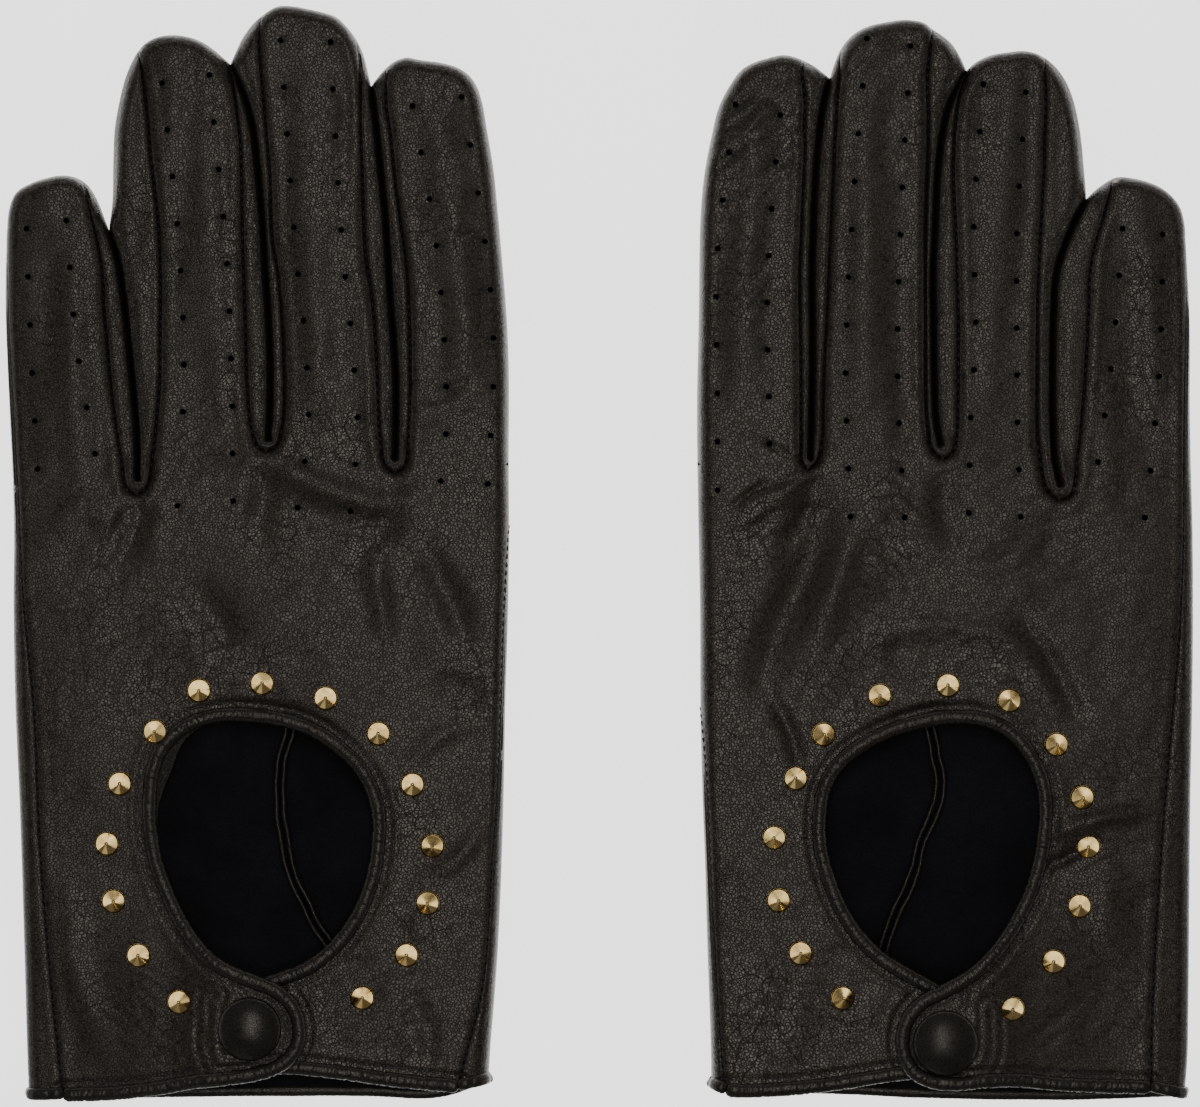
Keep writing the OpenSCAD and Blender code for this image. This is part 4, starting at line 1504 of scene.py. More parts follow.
@dataclass
class GloveForm:
    """Heights and pattern outlines of one glove, worked out from its pattern."""

    pattern: Pattern
    hand_side: float = 6.2
    hand_face: float = 11.3
    finger_side: float = 4.4
    press: float = 2.0
    finger_face: float = 10.7
    leather: float = 0.85
    tab_leather: float = 1.35
    seam_sink: float = 1.0
    tab_step: tuple[float, float] = (1.5, 2.1)
    worn_in: float = 1.3
    stretched: float = 1.0

    def __post_init__(self) -> None:
        """Draw the lines and index them."""
        p = self.pattern
        pinky_left = p.side == "left"
        self.rims = [drawn(line) for line in p.rims]
        self.valleys = [drawn(line) for line in p.valleys]
        for k, valley in enumerate(self.valleys):
            valley[-1] = self.rims[k][-1]
            self.rims[k + 1][0] = self.rims[k][-1]
        self.binding = drawn(p.binding, 0.6)
        self.first = nearest_index(self.binding, p.tab_start)
        self.last = nearest_index(self.binding, p.tab_end)
        self.underlap = drawn(p.underlap, 0.6)
        self.palm_hem = drawn(p.palm_hem)
        self.side_seams = [drawn(line) for line in p.side_seams]
        ends = [self.binding[-1], self.underlap[-1]] if pinky_left else [self.underlap[-1], self.binding[-1]]
        self.meets = []
        for k, seam in enumerate(self.side_seams):
            seam[0] = ends[k]
            rim = self.rims[0] if k == 0 else self.rims[-1]
            meet = nearest_index(rim, tuple(seam[-1]))
            seam[-1] = rim[meet]
            self.meets.append(meet)
        self.palm_hem[0], self.palm_hem[-1] = self.rims[0][0], self.rims[-1][-1]
        self.descents = [drawn(line) for line in p.descents]
        self.ascents = [drawn(line) for line in p.ascents]
        self.tips_right, self.tips_left = [], []
        for k in range(3):
            right_end = nearest_index(self.rims[k], tuple(self.descents[k][0]))
            left_end = nearest_index(self.rims[k + 1], tuple(self.ascents[k][-1]))
            self.descents[k][0] = self.rims[k][right_end]
            self.ascents[k][-1] = self.rims[k + 1][left_end]
            self.tips_right.append(right_end)
            self.tips_left.append(left_end)
        self.rim_track = Track(*self.rims)
        self.valley_track = Track(*self.valleys)
        self.seam_track = Track(*self.descents, *self.ascents)
        self.side_track = Track(*self.side_seams)
        self.edge_track = Track(self.binding)
        self.lap_track = Track(self.underlap[14:])
        self.holes = [tuple(point) for row in p.rows for point in self._spaced(row)]

    @staticmethod
    def _spaced(row: Row) -> Array:
        """Places of the holes in a row.

        Args:
            row: The row.

        Returns:
            The places on the plan.
        """
        line = drawn(row.line, 0.5)
        stations = np.linspace(0, len(line) - 1, row.count)
        return np.stack([np.interp(stations, np.arange(len(line)), axis) for axis in line.T], axis=1)

    def finger_share(self, plan: Array) -> Array:
        """0 over the hand, 1 over the fingers."""
        root = np.interp(plan[:, 0], self.pattern.centres, self.pattern.roots)
        return ease(-10, 8, plan[:, 1] - root)

    def side_height(self, plan: Array) -> Array:
        """Height of the glove's widest line.

        Args:
            plan: Points on the plan, in millimetres.

        Returns:
            The heights, in millimetres.
        """
        share = self.finger_share(plan)
        pressed = self.press * np.exp(-((self.valley_track.away(plan) / 3.5) ** 2))
        return self.hand_side * (1 - share) + self.finger_side * share + pressed

    def crown(self, plan: Array) -> Array:
        """Upper face, before seams and creases.

        Args:
            plan: Points on the plan, in millimetres.

        Returns:
            Its heights, in millimetres.
        """
        share = self.finger_share(plan)
        side = self.side_height(plan)
        face = self.hand_face * (1 - share) + self.finger_face * share
        rim, valley = self.rim_track.away(plan), self.valley_track.away(plan)
        reach, notch = 3.1 * (1 - share) + 2.9 * share, 4.2
        flat = 0.82 * bulge(rim / reach) + 0.18 * bulge(rim / 16)
        return side + (face - side) * flat * (0.9 * bulge(valley / notch) + 0.1 * bulge(valley / 9))

    def relief(self, plan: Array) -> Array:
        """Soft dents, folds and wrinkles of worn-in leather.

        Args:
            plan: Points on the plan, in millimetres.

        Returns:
            What they add to the height, in millimetres.
        """
        share = self.finger_share(plan)
        dents = 0.38 * waves(plan, 19, 24, 20, 1) * (1 - share) + 0.42 * waves(plan, 7.5, 34, 90, 2) * share
        lift = dents + 0.12 * waves(plan, 6, 9, 55, 6) + 0.05 * waves(plan, 2.4, 4.5, 30, 7)
        for shape in self.pattern.folds + self.pattern.puckers:
            lift = lift + shape.lift(plan) * (self.worn_in * (1 - share) + self.stretched * share)
        calm = bulge(self.rim_track.away(plan) / 5.0)
        return lift * calm

    def lap_rise(self, plan: Array) -> Array:
        """Rise of the little-finger side up on to the tab.

        Args:
            plan: Points on the plan, in millimetres.

        Returns:
            What it adds to the height, in millimetres.
        """
        across = self.pattern.inward_x(plan[:, 0])
        up = self.tab_step[0] * ease(-38, -17, across) + self.tab_step[1] * ease(-19, -6, across)
        return up * ease(-68, -88, plan[:, 1])

    def seams(self, plan: Array) -> Array:
        """How far the leather is drawn down at seams, edges and stitch lines.

        Args:
            plan: Points on the plan, in millimetres.

        Returns:
            Depths, in millimetres.
        """
        seam, side, edge = self.seam_track.away(plan), self.side_track.away(plan), self.edge_track.away(plan)
        lap = self.lap_track.away(plan)
        near_rim = np.clip(self.rim_track.away(plan) / 1.6, 0, 1)
        down = self.seam_sink * near_rim * (1 - bulge(seam / 1.2)) - 0.18 * np.exp(-(((seam - 1.9) / 0.8) ** 2))
        down = down + 0.55 * near_rim * (1 - bulge(side / 0.9)) - 0.08 * np.exp(-(((side - 1.5) / 0.6) ** 2))
        for gap in (edge, lap):
            down = down + 0.3 * np.exp(-(((gap - 2.4) / 0.42) ** 2)) - 0.16 * np.exp(
                -(((gap - 3.4) / 0.7) ** 2)
            )
            down = down + 0.5 * (1 - bulge(gap / 2.1))
        return down

    def dimples(self, plan: Array) -> Array:
        """How far the leather sinks round each punched hole.

        Args:
            plan: Points on the plan, in millimetres.

        Returns:
            Depths, in millimetres.
        """
        down = np.zeros(len(plan))
        for centre in self.holes:
            close = np.abs(plan - centre).max(1) < 4
            gap2 = ((plan[close] - centre) ** 2).sum(1)
            down[close] += 0.22 * np.exp(-gap2 / 0.9**2)
        return down

    def top(self, plan: Array) -> Array:
        """Grain side of everything on the upper face, apart from the tab.

        Args:
            plan: Points on the plan, in millimetres.

        Returns:
            Its heights, in millimetres.
        """
        across = self.pattern.inward_x(plan[:, 0])
        rise = np.where(across < -14, self.lap_rise(plan), 0.0)
        return self.crown(plan) + self.relief(plan) + rise - self.seams(plan) - self.dimples(plan)

    def tab_top(self, plan: Array) -> Array:
        """Grain side of the tab, which lies over the underlap."""
        return self.crown(plan) + self.relief(plan) + self.lap_rise(plan) - self.seams(plan)

    def under(self, plan: Array) -> Array:
        """Grain side of the palm, which faces down.

        Args:
            plan: Points on the plan, in millimetres.

        Returns:
            Its heights, in millimetres.
        """
        share = self.finger_share(plan)
        side = self.side_height(plan)
        low = np.interp(plan[:, 1], (-115.5, -75.5, -2, 13), (0.5, 3.6, 3.6, 0.15))
        low = low * (1 - share) + 0.15 * share
        reach = 9 * (1 - share) + 4.5 * share
        shape = bulge(self.rim_track.away(plan) / reach) * bulge(self.valley_track.away(plan) / reach)
        return side - (side - low) * shape

    def root_cut(self, finger: int) -> tuple[Array, Array]:
        """Find the ends of the line across a finger's root on the upper face.

        Args:
            finger: Number of the finger, from -X.

        Returns:
            The end at -X and the end at +X.
        """
        y = self.pattern.roots[finger]
        left = self.back_side(0, y)[1] if finger == 0 else at_height(self.ascents[finger - 1], y)[2]
        right = self.back_side(1, y)[1] if finger == 3 else at_height(self.descents[finger], y)[2]
        return left, right

    def back_side(self, end: int, y: float) -> tuple[list[Stretch], Array, list[Stretch]]:
        """Outer edge of the back, split at a height.

        Args:
            end: 0 for the -X side and 1 for the +X side.
            y: Height to split at.

        Returns:
            Stretches from the hem up to that height, the point there, and the stretches above it up to the seam's
            meeting with the rim, or to the rim's start of the fingertip.
        """
        seam = self.side_seams[end]
        rim = self.rims[0] if end == 0 else self.rims[-1][::-1]
        meet = self.meets[0] if end == 0 else len(rim) - 1 - self.meets[1]
        if seam[-1][1] > y:
            below, above, point = at_height(seam, y)
            return [Stretch(Edge.SEAM, below)], point, [
                Stretch(Edge.SEAM, above), Stretch(Edge.RIM, rim[meet:])
            ]
        below, above, point = at_height(rim[meet:], y)
        return [Stretch(Edge.SEAM, seam), Stretch(Edge.RIM, below)], point, [Stretch(Edge.RIM, above)]

    def hand_outline(self) -> list[Stretch]:
        """Draw the outline of the back's hand part.

        Returns:
            Its stretches, up the -X side and down the +X side.
        """
        outline = list(self.back_side(0, self.pattern.roots[0])[0])
        for k in range(4):
            left, right = self.root_cut(k)
            outline.append(Stretch(Edge.CUT, resampled(np.vstack([left, right]), 0.8)))
            if k < 3:
                low_left = at_height(self.descents[k], self.pattern.roots[k])[1]
                low_right = at_height(self.ascents[k], self.pattern.roots[k + 1])[0]
                outline += [Stretch(Edge.SEAM, low_left), Stretch(Edge.SEAM, low_right)]
        right_side = self.back_side(1, self.pattern.roots[3])[0]
        outline += [Stretch(s.kind, s.line[::-1]) for s in right_side[::-1]]
        hem = [
            Stretch(Edge.HEM, self.underlap[::-1]),
            Stretch(Edge.HEM, self.binding[: self.first + 1]),
            Stretch(Edge.CUT, self.tab_cut()),
            Stretch(Edge.HEM, self.binding[self.last :]),
        ]
        if self.pattern.side == "right":
            hem = [Stretch(s.kind, s.line[::-1]) for s in hem[::-1]]
        return outline + hem

    def tab_cut(self) -> Array:
        """Line across the root of the tab, from the keyhole to the hem."""
        return resampled(np.vstack([self.binding[self.first], self.binding[self.last]]), 0.8)

    def finger_outline(self, k: int) -> list[Stretch]:
        """Outline of one finger's back.

        Args:
            k: Number of the finger, from -X.

        Returns:
            Its stretches in order.
        """
        left, right = self.root_cut(k)
        rim = self.rims[k]
        if k == 0:
            up = self.back_side(0, self.pattern.roots[0])[2]
            rest = up[-1].line
            stop = nearest_index(rest, tuple(self.descents[0][0]))
            up = up[:-1] + [Stretch(Edge.RIM, rest[: stop + 1])]
        else:
            stop = self.tips_right[k] if k < 3 else 0
            up = [Stretch(Edge.SEAM, at_height(self.ascents[k - 1], self.pattern.roots[k])[1])]
            if k < 3:
                up.append(Stretch(Edge.RIM, rim[self.tips_left[k - 1] : stop + 1]))
        if k == 3:
            above = self.back_side(1, self.pattern.roots[3])[2]
            rest = above[-1].line
            stop = nearest_index(rest, tuple(self.ascents[2][-1]))
            down = [Stretch(Edge.RIM, rest[: stop + 1][::-1])]
            down += [Stretch(s.kind, s.line[::-1]) for s in above[:-1][::-1]]
        else:
            down = [Stretch(Edge.SEAM, at_height(self.descents[k], self.pattern.roots[k])[0])]
        return up + down + [Stretch(Edge.CUT, resampled(np.vstack([left, right]), 0.8)[::-1])]

    def fourchette_outlines(self, gap: int) -> tuple[list[Stretch], list[Stretch]]:
        """Draw the two strips in a gap between fingers.

        Args:
            gap: Number of the gap, from -X.

        Returns:
            The -X finger's strip and the +X finger's strip.
        """
        valley = self.valleys[gap]
        link = resampled(np.vstack([valley[0], self.descents[gap][-1]]), 0.8)
        left = [
            Stretch(Edge.SEAM, self.descents[gap][::-1]),
            Stretch(Edge.RIM, self.rims[gap][self.tips_right[gap] :]),
            Stretch(Edge.RIM, valley[::-1]),
            Stretch(Edge.CUT, link),
        ]
        right = [
            Stretch(Edge.SEAM, self.ascents[gap]),
            Stretch(Edge.RIM, self.rims[gap + 1][: self.tips_left[gap] + 1][::-1]),
            Stretch(Edge.RIM, valley[::-1]),
            Stretch(Edge.CUT, link),
        ]
        return left, right

    def wrap_outlines(self, end: int) -> list[tuple[bool, list[Stretch]]]:
        """Draw the palm's turned-up strip outside a side seam.

        Args:
            end: 0 for the -X side and 1 for the +X side.

        Returns:
            Whether each part is on the finger, and its outline.
        """
        seam = self.side_seams[end]
        rim = self.rims[0][: self.meets[0] + 1] if end == 0 else self.rims[-1][self.meets[1] :][::-1]
        y = self.pattern.roots[0 if end == 0 else 3]
        hem = Stretch(Edge.HEM, resampled(np.vstack([rim[0], seam[0]]), 0.8))
        if seam[-1][1] <= y:
            return [(False, [Stretch(Edge.RIM, rim[::-1]), hem, Stretch(Edge.SEAM, seam)])]
        low_seam, high_seam, a = at_height(seam, y)
        low_rim, high_rim, b = at_height(rim, y)
        cut = resampled(np.vstack([a, b]), 0.8)
        return [
            (
                False,
                [Stretch(Edge.RIM, low_rim[::-1]), hem, Stretch(Edge.SEAM, low_seam), Stretch(Edge.CUT, cut)],
            ),
            (True, [Stretch(Edge.RIM, high_rim[::-1]), Stretch(Edge.CUT, cut[::-1]), Stretch(Edge.SEAM, high_seam)]),
        ]

    def valley_from(self, gap: int, y: float) -> list[Stretch]:
        """Parting line between two fingers' palms, from a height up to the notch.

        Args:
            gap: Number of the gap, from -X.
            y: Height on the plan to start from.

        Returns:
            Its stretches, the open cut first.
        """
        valley = self.valleys[gap]
        if y < valley[0][1] - 0.05:
            start = np.array([valley[0][0], y])
            return [Stretch(Edge.CUT, resampled(np.vstack([start, valley[0]]), 0.8)), Stretch(Edge.RIM, valley)]
        return [Stretch(Edge.RIM, at_height(valley, y)[1])]

    def palm_outlines(self) -> tuple[list[Stretch], list[list[Stretch]]]:
        """Draw the palm's hand part and the four fingers' palms.

        Returns:
            The hand part's outline and the four fingers' outlines.
        """
        roots = self.pattern.roots
        first_low, first_high, first_point = at_height(self.rims[0], roots[0])
        tail = self.rims[3][::-1]
        last_low, last_high, last_point = at_height(tail, roots[3])
        lefts, rights = [first_point], []
        for k in range(3):
            rights.append(self.valley_from(k, roots[k])[0].line[0])
            lefts.append(self.valley_from(k, roots[k + 1])[0].line[0])
        rights.append(last_point)
        hand = [Stretch(Edge.RIM, first_low)]
        fingers = []
        for k in range(4):
            cut = resampled(np.vstack([lefts[k], rights[k]]), 0.8)
            hand.append(Stretch(Edge.CUT, cut))
            if k < 3 and abs(roots[k] - roots[k + 1]) > 0.05:
                hand += self._between(k, roots[k], roots[k + 1])
            up = [Stretch(Edge.RIM, first_high)] if k == 0 else self.valley_from(k - 1, roots[k])
            if 0 < k < 3:
                up.append(Stretch(Edge.RIM, self.rims[k]))
            down = self.valley_from(k, roots[k]) if k < 3 else [Stretch(Edge.RIM, last_high)]
            fingers.append(
                up + [Stretch(s.kind, s.line[::-1]) for s in down[::-1]] + [Stretch(Edge.CUT, cut[::-1])]
            )
        hand.append(Stretch(Edge.RIM, last_low[::-1]))
        hand.append(Stretch(Edge.HEM, self.palm_hem[::-1]))
        return hand, fingers

    def _between(self, gap: int, start: float, end: float) -> list[Stretch]:
        """Part of a parting line between the roots of two neighbouring fingers.

        Args:
            gap: Number of the gap, from -X.
            start: Height of the first root on the plan.
            end: Height of the second root.

        Returns:
            Its stretches, or none where the roots are level.
        """
        low, high = min(start, end), max(start, end)
        part = []
        for stretch in self.valley_from(gap, low):
            if stretch.line[0][1] >= high - 1e-6:
                break
            line = stretch.line
            if line[-1][1] > high:
                line = at_height(line, high)[0]
            part.append(Stretch(stretch.kind, line))
        return part if start < end else [Stretch(s.kind, s.line[::-1]) for s in part[::-1]]


# ---------------------------------------------------------------- sub-assemblies


def hinge(pattern: Pattern, finger: int, reach: float = 16.0) -> tuple[Vector, Vector]:
    """Start and end of the bend at a finger's root, in metres."""
    x, y = pattern.centres[finger] * MM, pattern.roots[finger] * MM
    return Vector((x, y, 0)), Vector((x, y + reach * MM, 0))


@dataclass
class GlovePart:
    """A sub-assembly of one glove."""

    form: GloveForm
    wardrobe: Wardrobe

    @property
    def side(self) -> str:
        """Which glove it belongs to."""
        return self.form.pattern.side

    @property
    def hand(self) -> str:
        """The body that the hand moves with."""
        return f"{self.side}_hand"

    def on_hand(self, piece: bpy.types.Object, slot: str, *nodes: str) -> None:
        """Let a piece ride on the hand and stand for CAD nodes.

        Args:
            piece: The piece.
            slot: Its colour slot; not used.
            *nodes: Names, without the side, of the CAD nodes that it replaces.
        """
        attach(piece, self.hand)
        if nodes:
            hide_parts(*(f"{self.side}_{node}" for node in nodes))

    def on_finger(self, piece: bpy.types.Object, finger: int, slot: str, *nodes: str) -> None:
        """Bake a piece's placement into its mesh and hide the finger's CAD nodes that it replaces.

        Args:
            piece: The piece.
            finger: Number of the finger, from -X.
            slot: Its colour slot; not used.
            *nodes: Names, without side and finger, of the CAD nodes that it replaces.
        """
        name = self.form.pattern.fingers[finger]
        start, end = hinge(self.form.pattern, finger)
        self.hand
        f"{self.side}_{name}_finger"
        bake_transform(piece)
        if nodes:
            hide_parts(*(f"{self.side}_{name}_{node}" for node in nodes))

    def on_tab(self, piece: bpy.types.Object, slot: str, *nodes: str) -> None:
        """Bake a piece's placement into its mesh and hide the tab's CAD nodes that it replaces.

        Args:
            piece: The piece.
            slot: Its colour slot; not used.
            *nodes: Names, without the side, of the CAD nodes that it replaces.
        """
        out = self.form.pattern.outward
        self.hand
        f"{self.side}_tab"
        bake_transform(piece)
        if nodes:
            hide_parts(*(f"{self.side}_{node}" for node in nodes))

    def stitched(
        self,
        name: str,
        lines: list[Array],
        height: Callable[[Array], Array],
        repeat: Repeat,
        lift: float = 0.02,
    ) -> bpy.types.Object:
        """Sew along lines on the plan.

        Args:
            name: Name of the piece.
            lines: The stitch lines.
            height: Height of the leather over points on the plan.
            repeat: Tree that lays the stitches.
            lift: How far above the leather they are centred, in millimetres.

        Returns:
            The stitches as one piece.
        """
        paths, edges = [], []
        for line in lines:
            first = sum(len(path) for path in paths)
            edges += [(first + k, first + k + 1) for k in range(len(line) - 1)]
            paths.append(np.column_stack([line, height(line) + lift]))
        return repeat.run(name, np.vstack(paths), edges, self.wardrobe.thread)


@dataclass
class Back(GlovePart):
    """The back of the glove: one skin over the hand and the four fingers, with its punched holes."""

    hole_rims: Repeat | None = None
    spacing: float = 0.8

    def build(self) -> None:
        """Cut and shape the hand part, the finger backs and the rolled edges of the holes."""
        form, pattern = self.form, self.form.pattern
        roots = np.interp([h[0] for h in form.holes], pattern.centres, pattern.roots)
        low = [h for h, y in zip(form.holes, roots) if h[1] < y - 1]
        sheet = Sheet(form.hand_outline(), low, spacing=self.spacing)
        piece = made(f"{self.side}_hand_back", shaped(sheet, form.top, form.leather), self.wardrobe.leather())
        self.on_hand(piece, "glove_leather", "back_panel")
        self._rims(f"{self.side}_hand_hole_rims", low, None)
        per_finger = np.array_split(np.arange(len(pattern.rows)), 4)
        starts = np.cumsum([0] + [row.count for row in pattern.rows])
        for k, rows in enumerate(per_finger):
            mine = [h for r in rows for h in form.holes[starts[r] : starts[r + 1]] if h not in low]
            name = f"{self.side}_{pattern.fingers[k]}"
            shell = shaped(Sheet(form.finger_outline(k), mine, spacing=self.spacing), form.top, form.leather)
            self.on_finger(
                made(f"{name}_finger_back", shell, self.wardrobe.leather()), k, "glove_leather", "back"
            )
            self._rims(f"{name}_hole_rims", mine, k)

    def _rims(self, name: str, holes: list[Point], finger: int | None) -> None:
        """Roll the edges of some holes.

        Args:
            name: Name of the piece.
            holes: Places of the holes.
            finger: Number of their finger, or None for the hand.
        """
        plan = np.array(holes)
        directions = upright(self.form.crown, plan)
        places = np.column_stack([plan, self.form.top(plan) - 0.14])
        piece = self.hole_rims.run(name, places, [], self.wardrobe.raw, directions)
        if finger is None:
            self.on_hand(piece, "glove_leather")
        else:
            self.on_finger(piece, finger, "glove_leather")


def upright(height: Callable[[Array], Array], plan: Array, h: float = 1.0) -> Array:
    """Find the directions that stand square on a surface.

    Args:
        height: Height of the surface over points on the plan.
        plan: Points on the plan, in millimetres.
        h: Distance over which the slope is taken.

    Returns:
        One direction for each point.
    """
    dx = (height(plan + (h, 0)) - height(plan - (h, 0))) / (2 * h)
    dy = (height(plan + (0, h)) - height(plan - (0, h))) / (2 * h)
    normal = np.column_stack([-dx, -dy, np.ones(len(plan))])
    return normal / np.linalg.norm(normal, axis=1)[:, None]


@dataclass
class Fourchettes(GlovePart):
    """The strips sewn in between the fingers, one for each side of each gap."""

    stitches: Repeat | None = None

    def height(self, plan: Array) -> Array:
        """Grain side of the strips, which ride a little lower than the backs.

        Args:
            plan: Points on the plan, in millimetres.

        Returns:
            Its heights, in millimetres.
        """
        form = self.form
        seam, rim, valley = form.seam_track.away(plan), form.rim_track.away(plan), form.valley_track.away(plan)
        side = form.side_height(plan)
        shoulder = bulge(np.minimum(rim / 3.0, valley / 2.2))
        roll = 1.1 * np.clip(rim / 1.6, 0, 1) * (1 - bulge(seam / 1.3))
        ripple = 0.1 * waves(plan, 2.5, 14, 90, 9)
        base = np.minimum(form.crown(plan) + 0.4, form.finger_face)
        return side + (np.maximum(base, side + 4.6) - side) * shoulder - roll + ripple * shoulder

    def build(self) -> None:
        """Cut and shape the strips."""
        shells: dict[int, list[Shell]] = {k: [] for k in range(4)}
        for gap in range(3):
            for k, outline in zip((gap, gap + 1), self.form.fourchette_outlines(gap)):
                shells[k].append(shaped(Sheet(outline, spacing=0.8), self.height, 0.7))
        for k, pair in shells.items():
            name = f"{self.side}_{self.form.pattern.fingers[k]}_finger_fourchettes"
            self.on_finger(made(name, joined(pair), self.wardrobe.leather()), k, "glove_leather", "fourchettes")
        self._sew()

    def _sew(self) -> None:
        """Sew the strips in, round the bottom of each gap and up both fingers."""
        form, roots = self.form, self.form.pattern.roots
        low = []
        for k in range(3):
            low.append(at_height(form.descents[k], roots[k])[1])
            low.append(at_height(form.ascents[k], roots[k + 1])[0])
        self.on_hand(self.stitched(f"{self.side}_gap_stitches", low, form.top, self.stitches, 0.2), "thread")
        for k in range(4):
            high = [] if k == 0 else [at_height(form.ascents[k - 1], roots[k])[1][:-4]]
            high += [] if k == 3 else [at_height(form.descents[k], roots[k])[0][4:]]
            high = [line[form.rim_track.away(line) > 1.5] for line in high]
            name = f"{self.side}_{form.pattern.fingers[k]}_finger_stitches"
            self.on_finger(self.stitched(name, high, form.top, self.stitches, 0.2), k, "thread")


@dataclass
class Palm(GlovePart):
    """The palm: hand and fingers underneath, turned up at both sides to the stitched side seams."""

    stitches: Repeat | None = None
    hem_width: float = 2.5
    lip_lift: float = 1.6
    lip_width: float = 1.32
    lip_height: float = 2.6

    def build(self) -> None:
        """Cut and shape the palm, its fingers, its hem, its side stitches and the thumb seam inside."""
        form, pattern = self.form, self.form.pattern
        hand, fingers = form.palm_outlines()
        hand_shells = [shaped(Sheet(hand, spacing=1.4), form.under, 0.9, downward=True)]
        finger_shells = [[shaped(Sheet(f, spacing=1.2), form.under, 0.9, downward=True)] for f in fingers]
        for end in (0, 1):
            for on_finger, outline in form.wrap_outlines(end):
                shell = shaped(Sheet(outline, spacing=0.8), form.top, form.leather)
                (finger_shells[0 if end == 0 else 3] if on_finger else hand_shells).append(shell)
            seam = form.side_seams[end][3:]
            cut_y = pattern.roots[0 if end == 0 else 3]
            low = seam[seam[:, 1] < min(cut_y, 40)]
            piece = self.stitched(f"{self.side}_side_stitches_{end + 1}", [low], form.top, self.stitches, 0.18)
            self.on_hand(piece, "thread")
        piece = made(f"{self.side}_palm", joined(hand_shells), self.wardrobe.wrapped())
        self.on_hand(piece, "glove_leather", "palm_panel")
        for k, shells in enumerate(finger_shells):
            name = f"{self.side}_{pattern.fingers[k]}_finger_palm"
            self.on_finger(made(name, joined(shells), self.wardrobe.wrapped()), k, "glove_leather", "palm")
        self._hem()
        self._thumb_seam()

    def _hem(self) -> None:
        """Turn the palm's hem, up the sides to the side seams."""
        form = self.form
        corner_a = resampled(np.vstack([form.side_seams[0][0], form.rims[0][0]]), 0.5)
        corner_b = resampled(np.vstack([form.rims[3][-1], form.side_seams[1][0]]), 0.5)
        line = form.palm_hem
        path = np.vstack([
            np.column_stack([corner_a, form.top(corner_a)])[:-1],
            np.column_stack([line, form.under(line)]),
            np.column_stack([corner_b, form.top(corner_b)])[1:],
        ])
        inset = np.array((0, 0.25, 0.5))
        hem = tube(resampled(path, 0.35) + inset, self.hem_width / 2, 0.75, 0.06)
        self.on_hand(
            made(f"{self.side}_palm_hem_fold", hem, [self.wardrobe.strip]), "binding_leather", "palm_hem"
        )

    def _thumb_seam(self) -> None:
        """Raise the two lips of the thumb's seam inside the palm."""
        line = drawn(self.form.pattern.thumb_seam, 0.4)
        lips = []
        for offset in (-0.8, 0.8):
            lip = beside(line, offset)
            wobble = 0.3 * waves(lip, 6, 6, 0, 21)
            path = np.column_stack([lip[:, 0] + wobble, lip[:, 1], self.form.under(lip) + self.lip_lift])
            lips.append(tube(path, self.lip_width / 2, self.lip_height / 2, 0.12, 12, 2.4))
        piece = made(f"{self.side}_thumb_seam_lips", joined(lips), [self.wardrobe.strip])
        self.on_hand(piece, "suede_side")


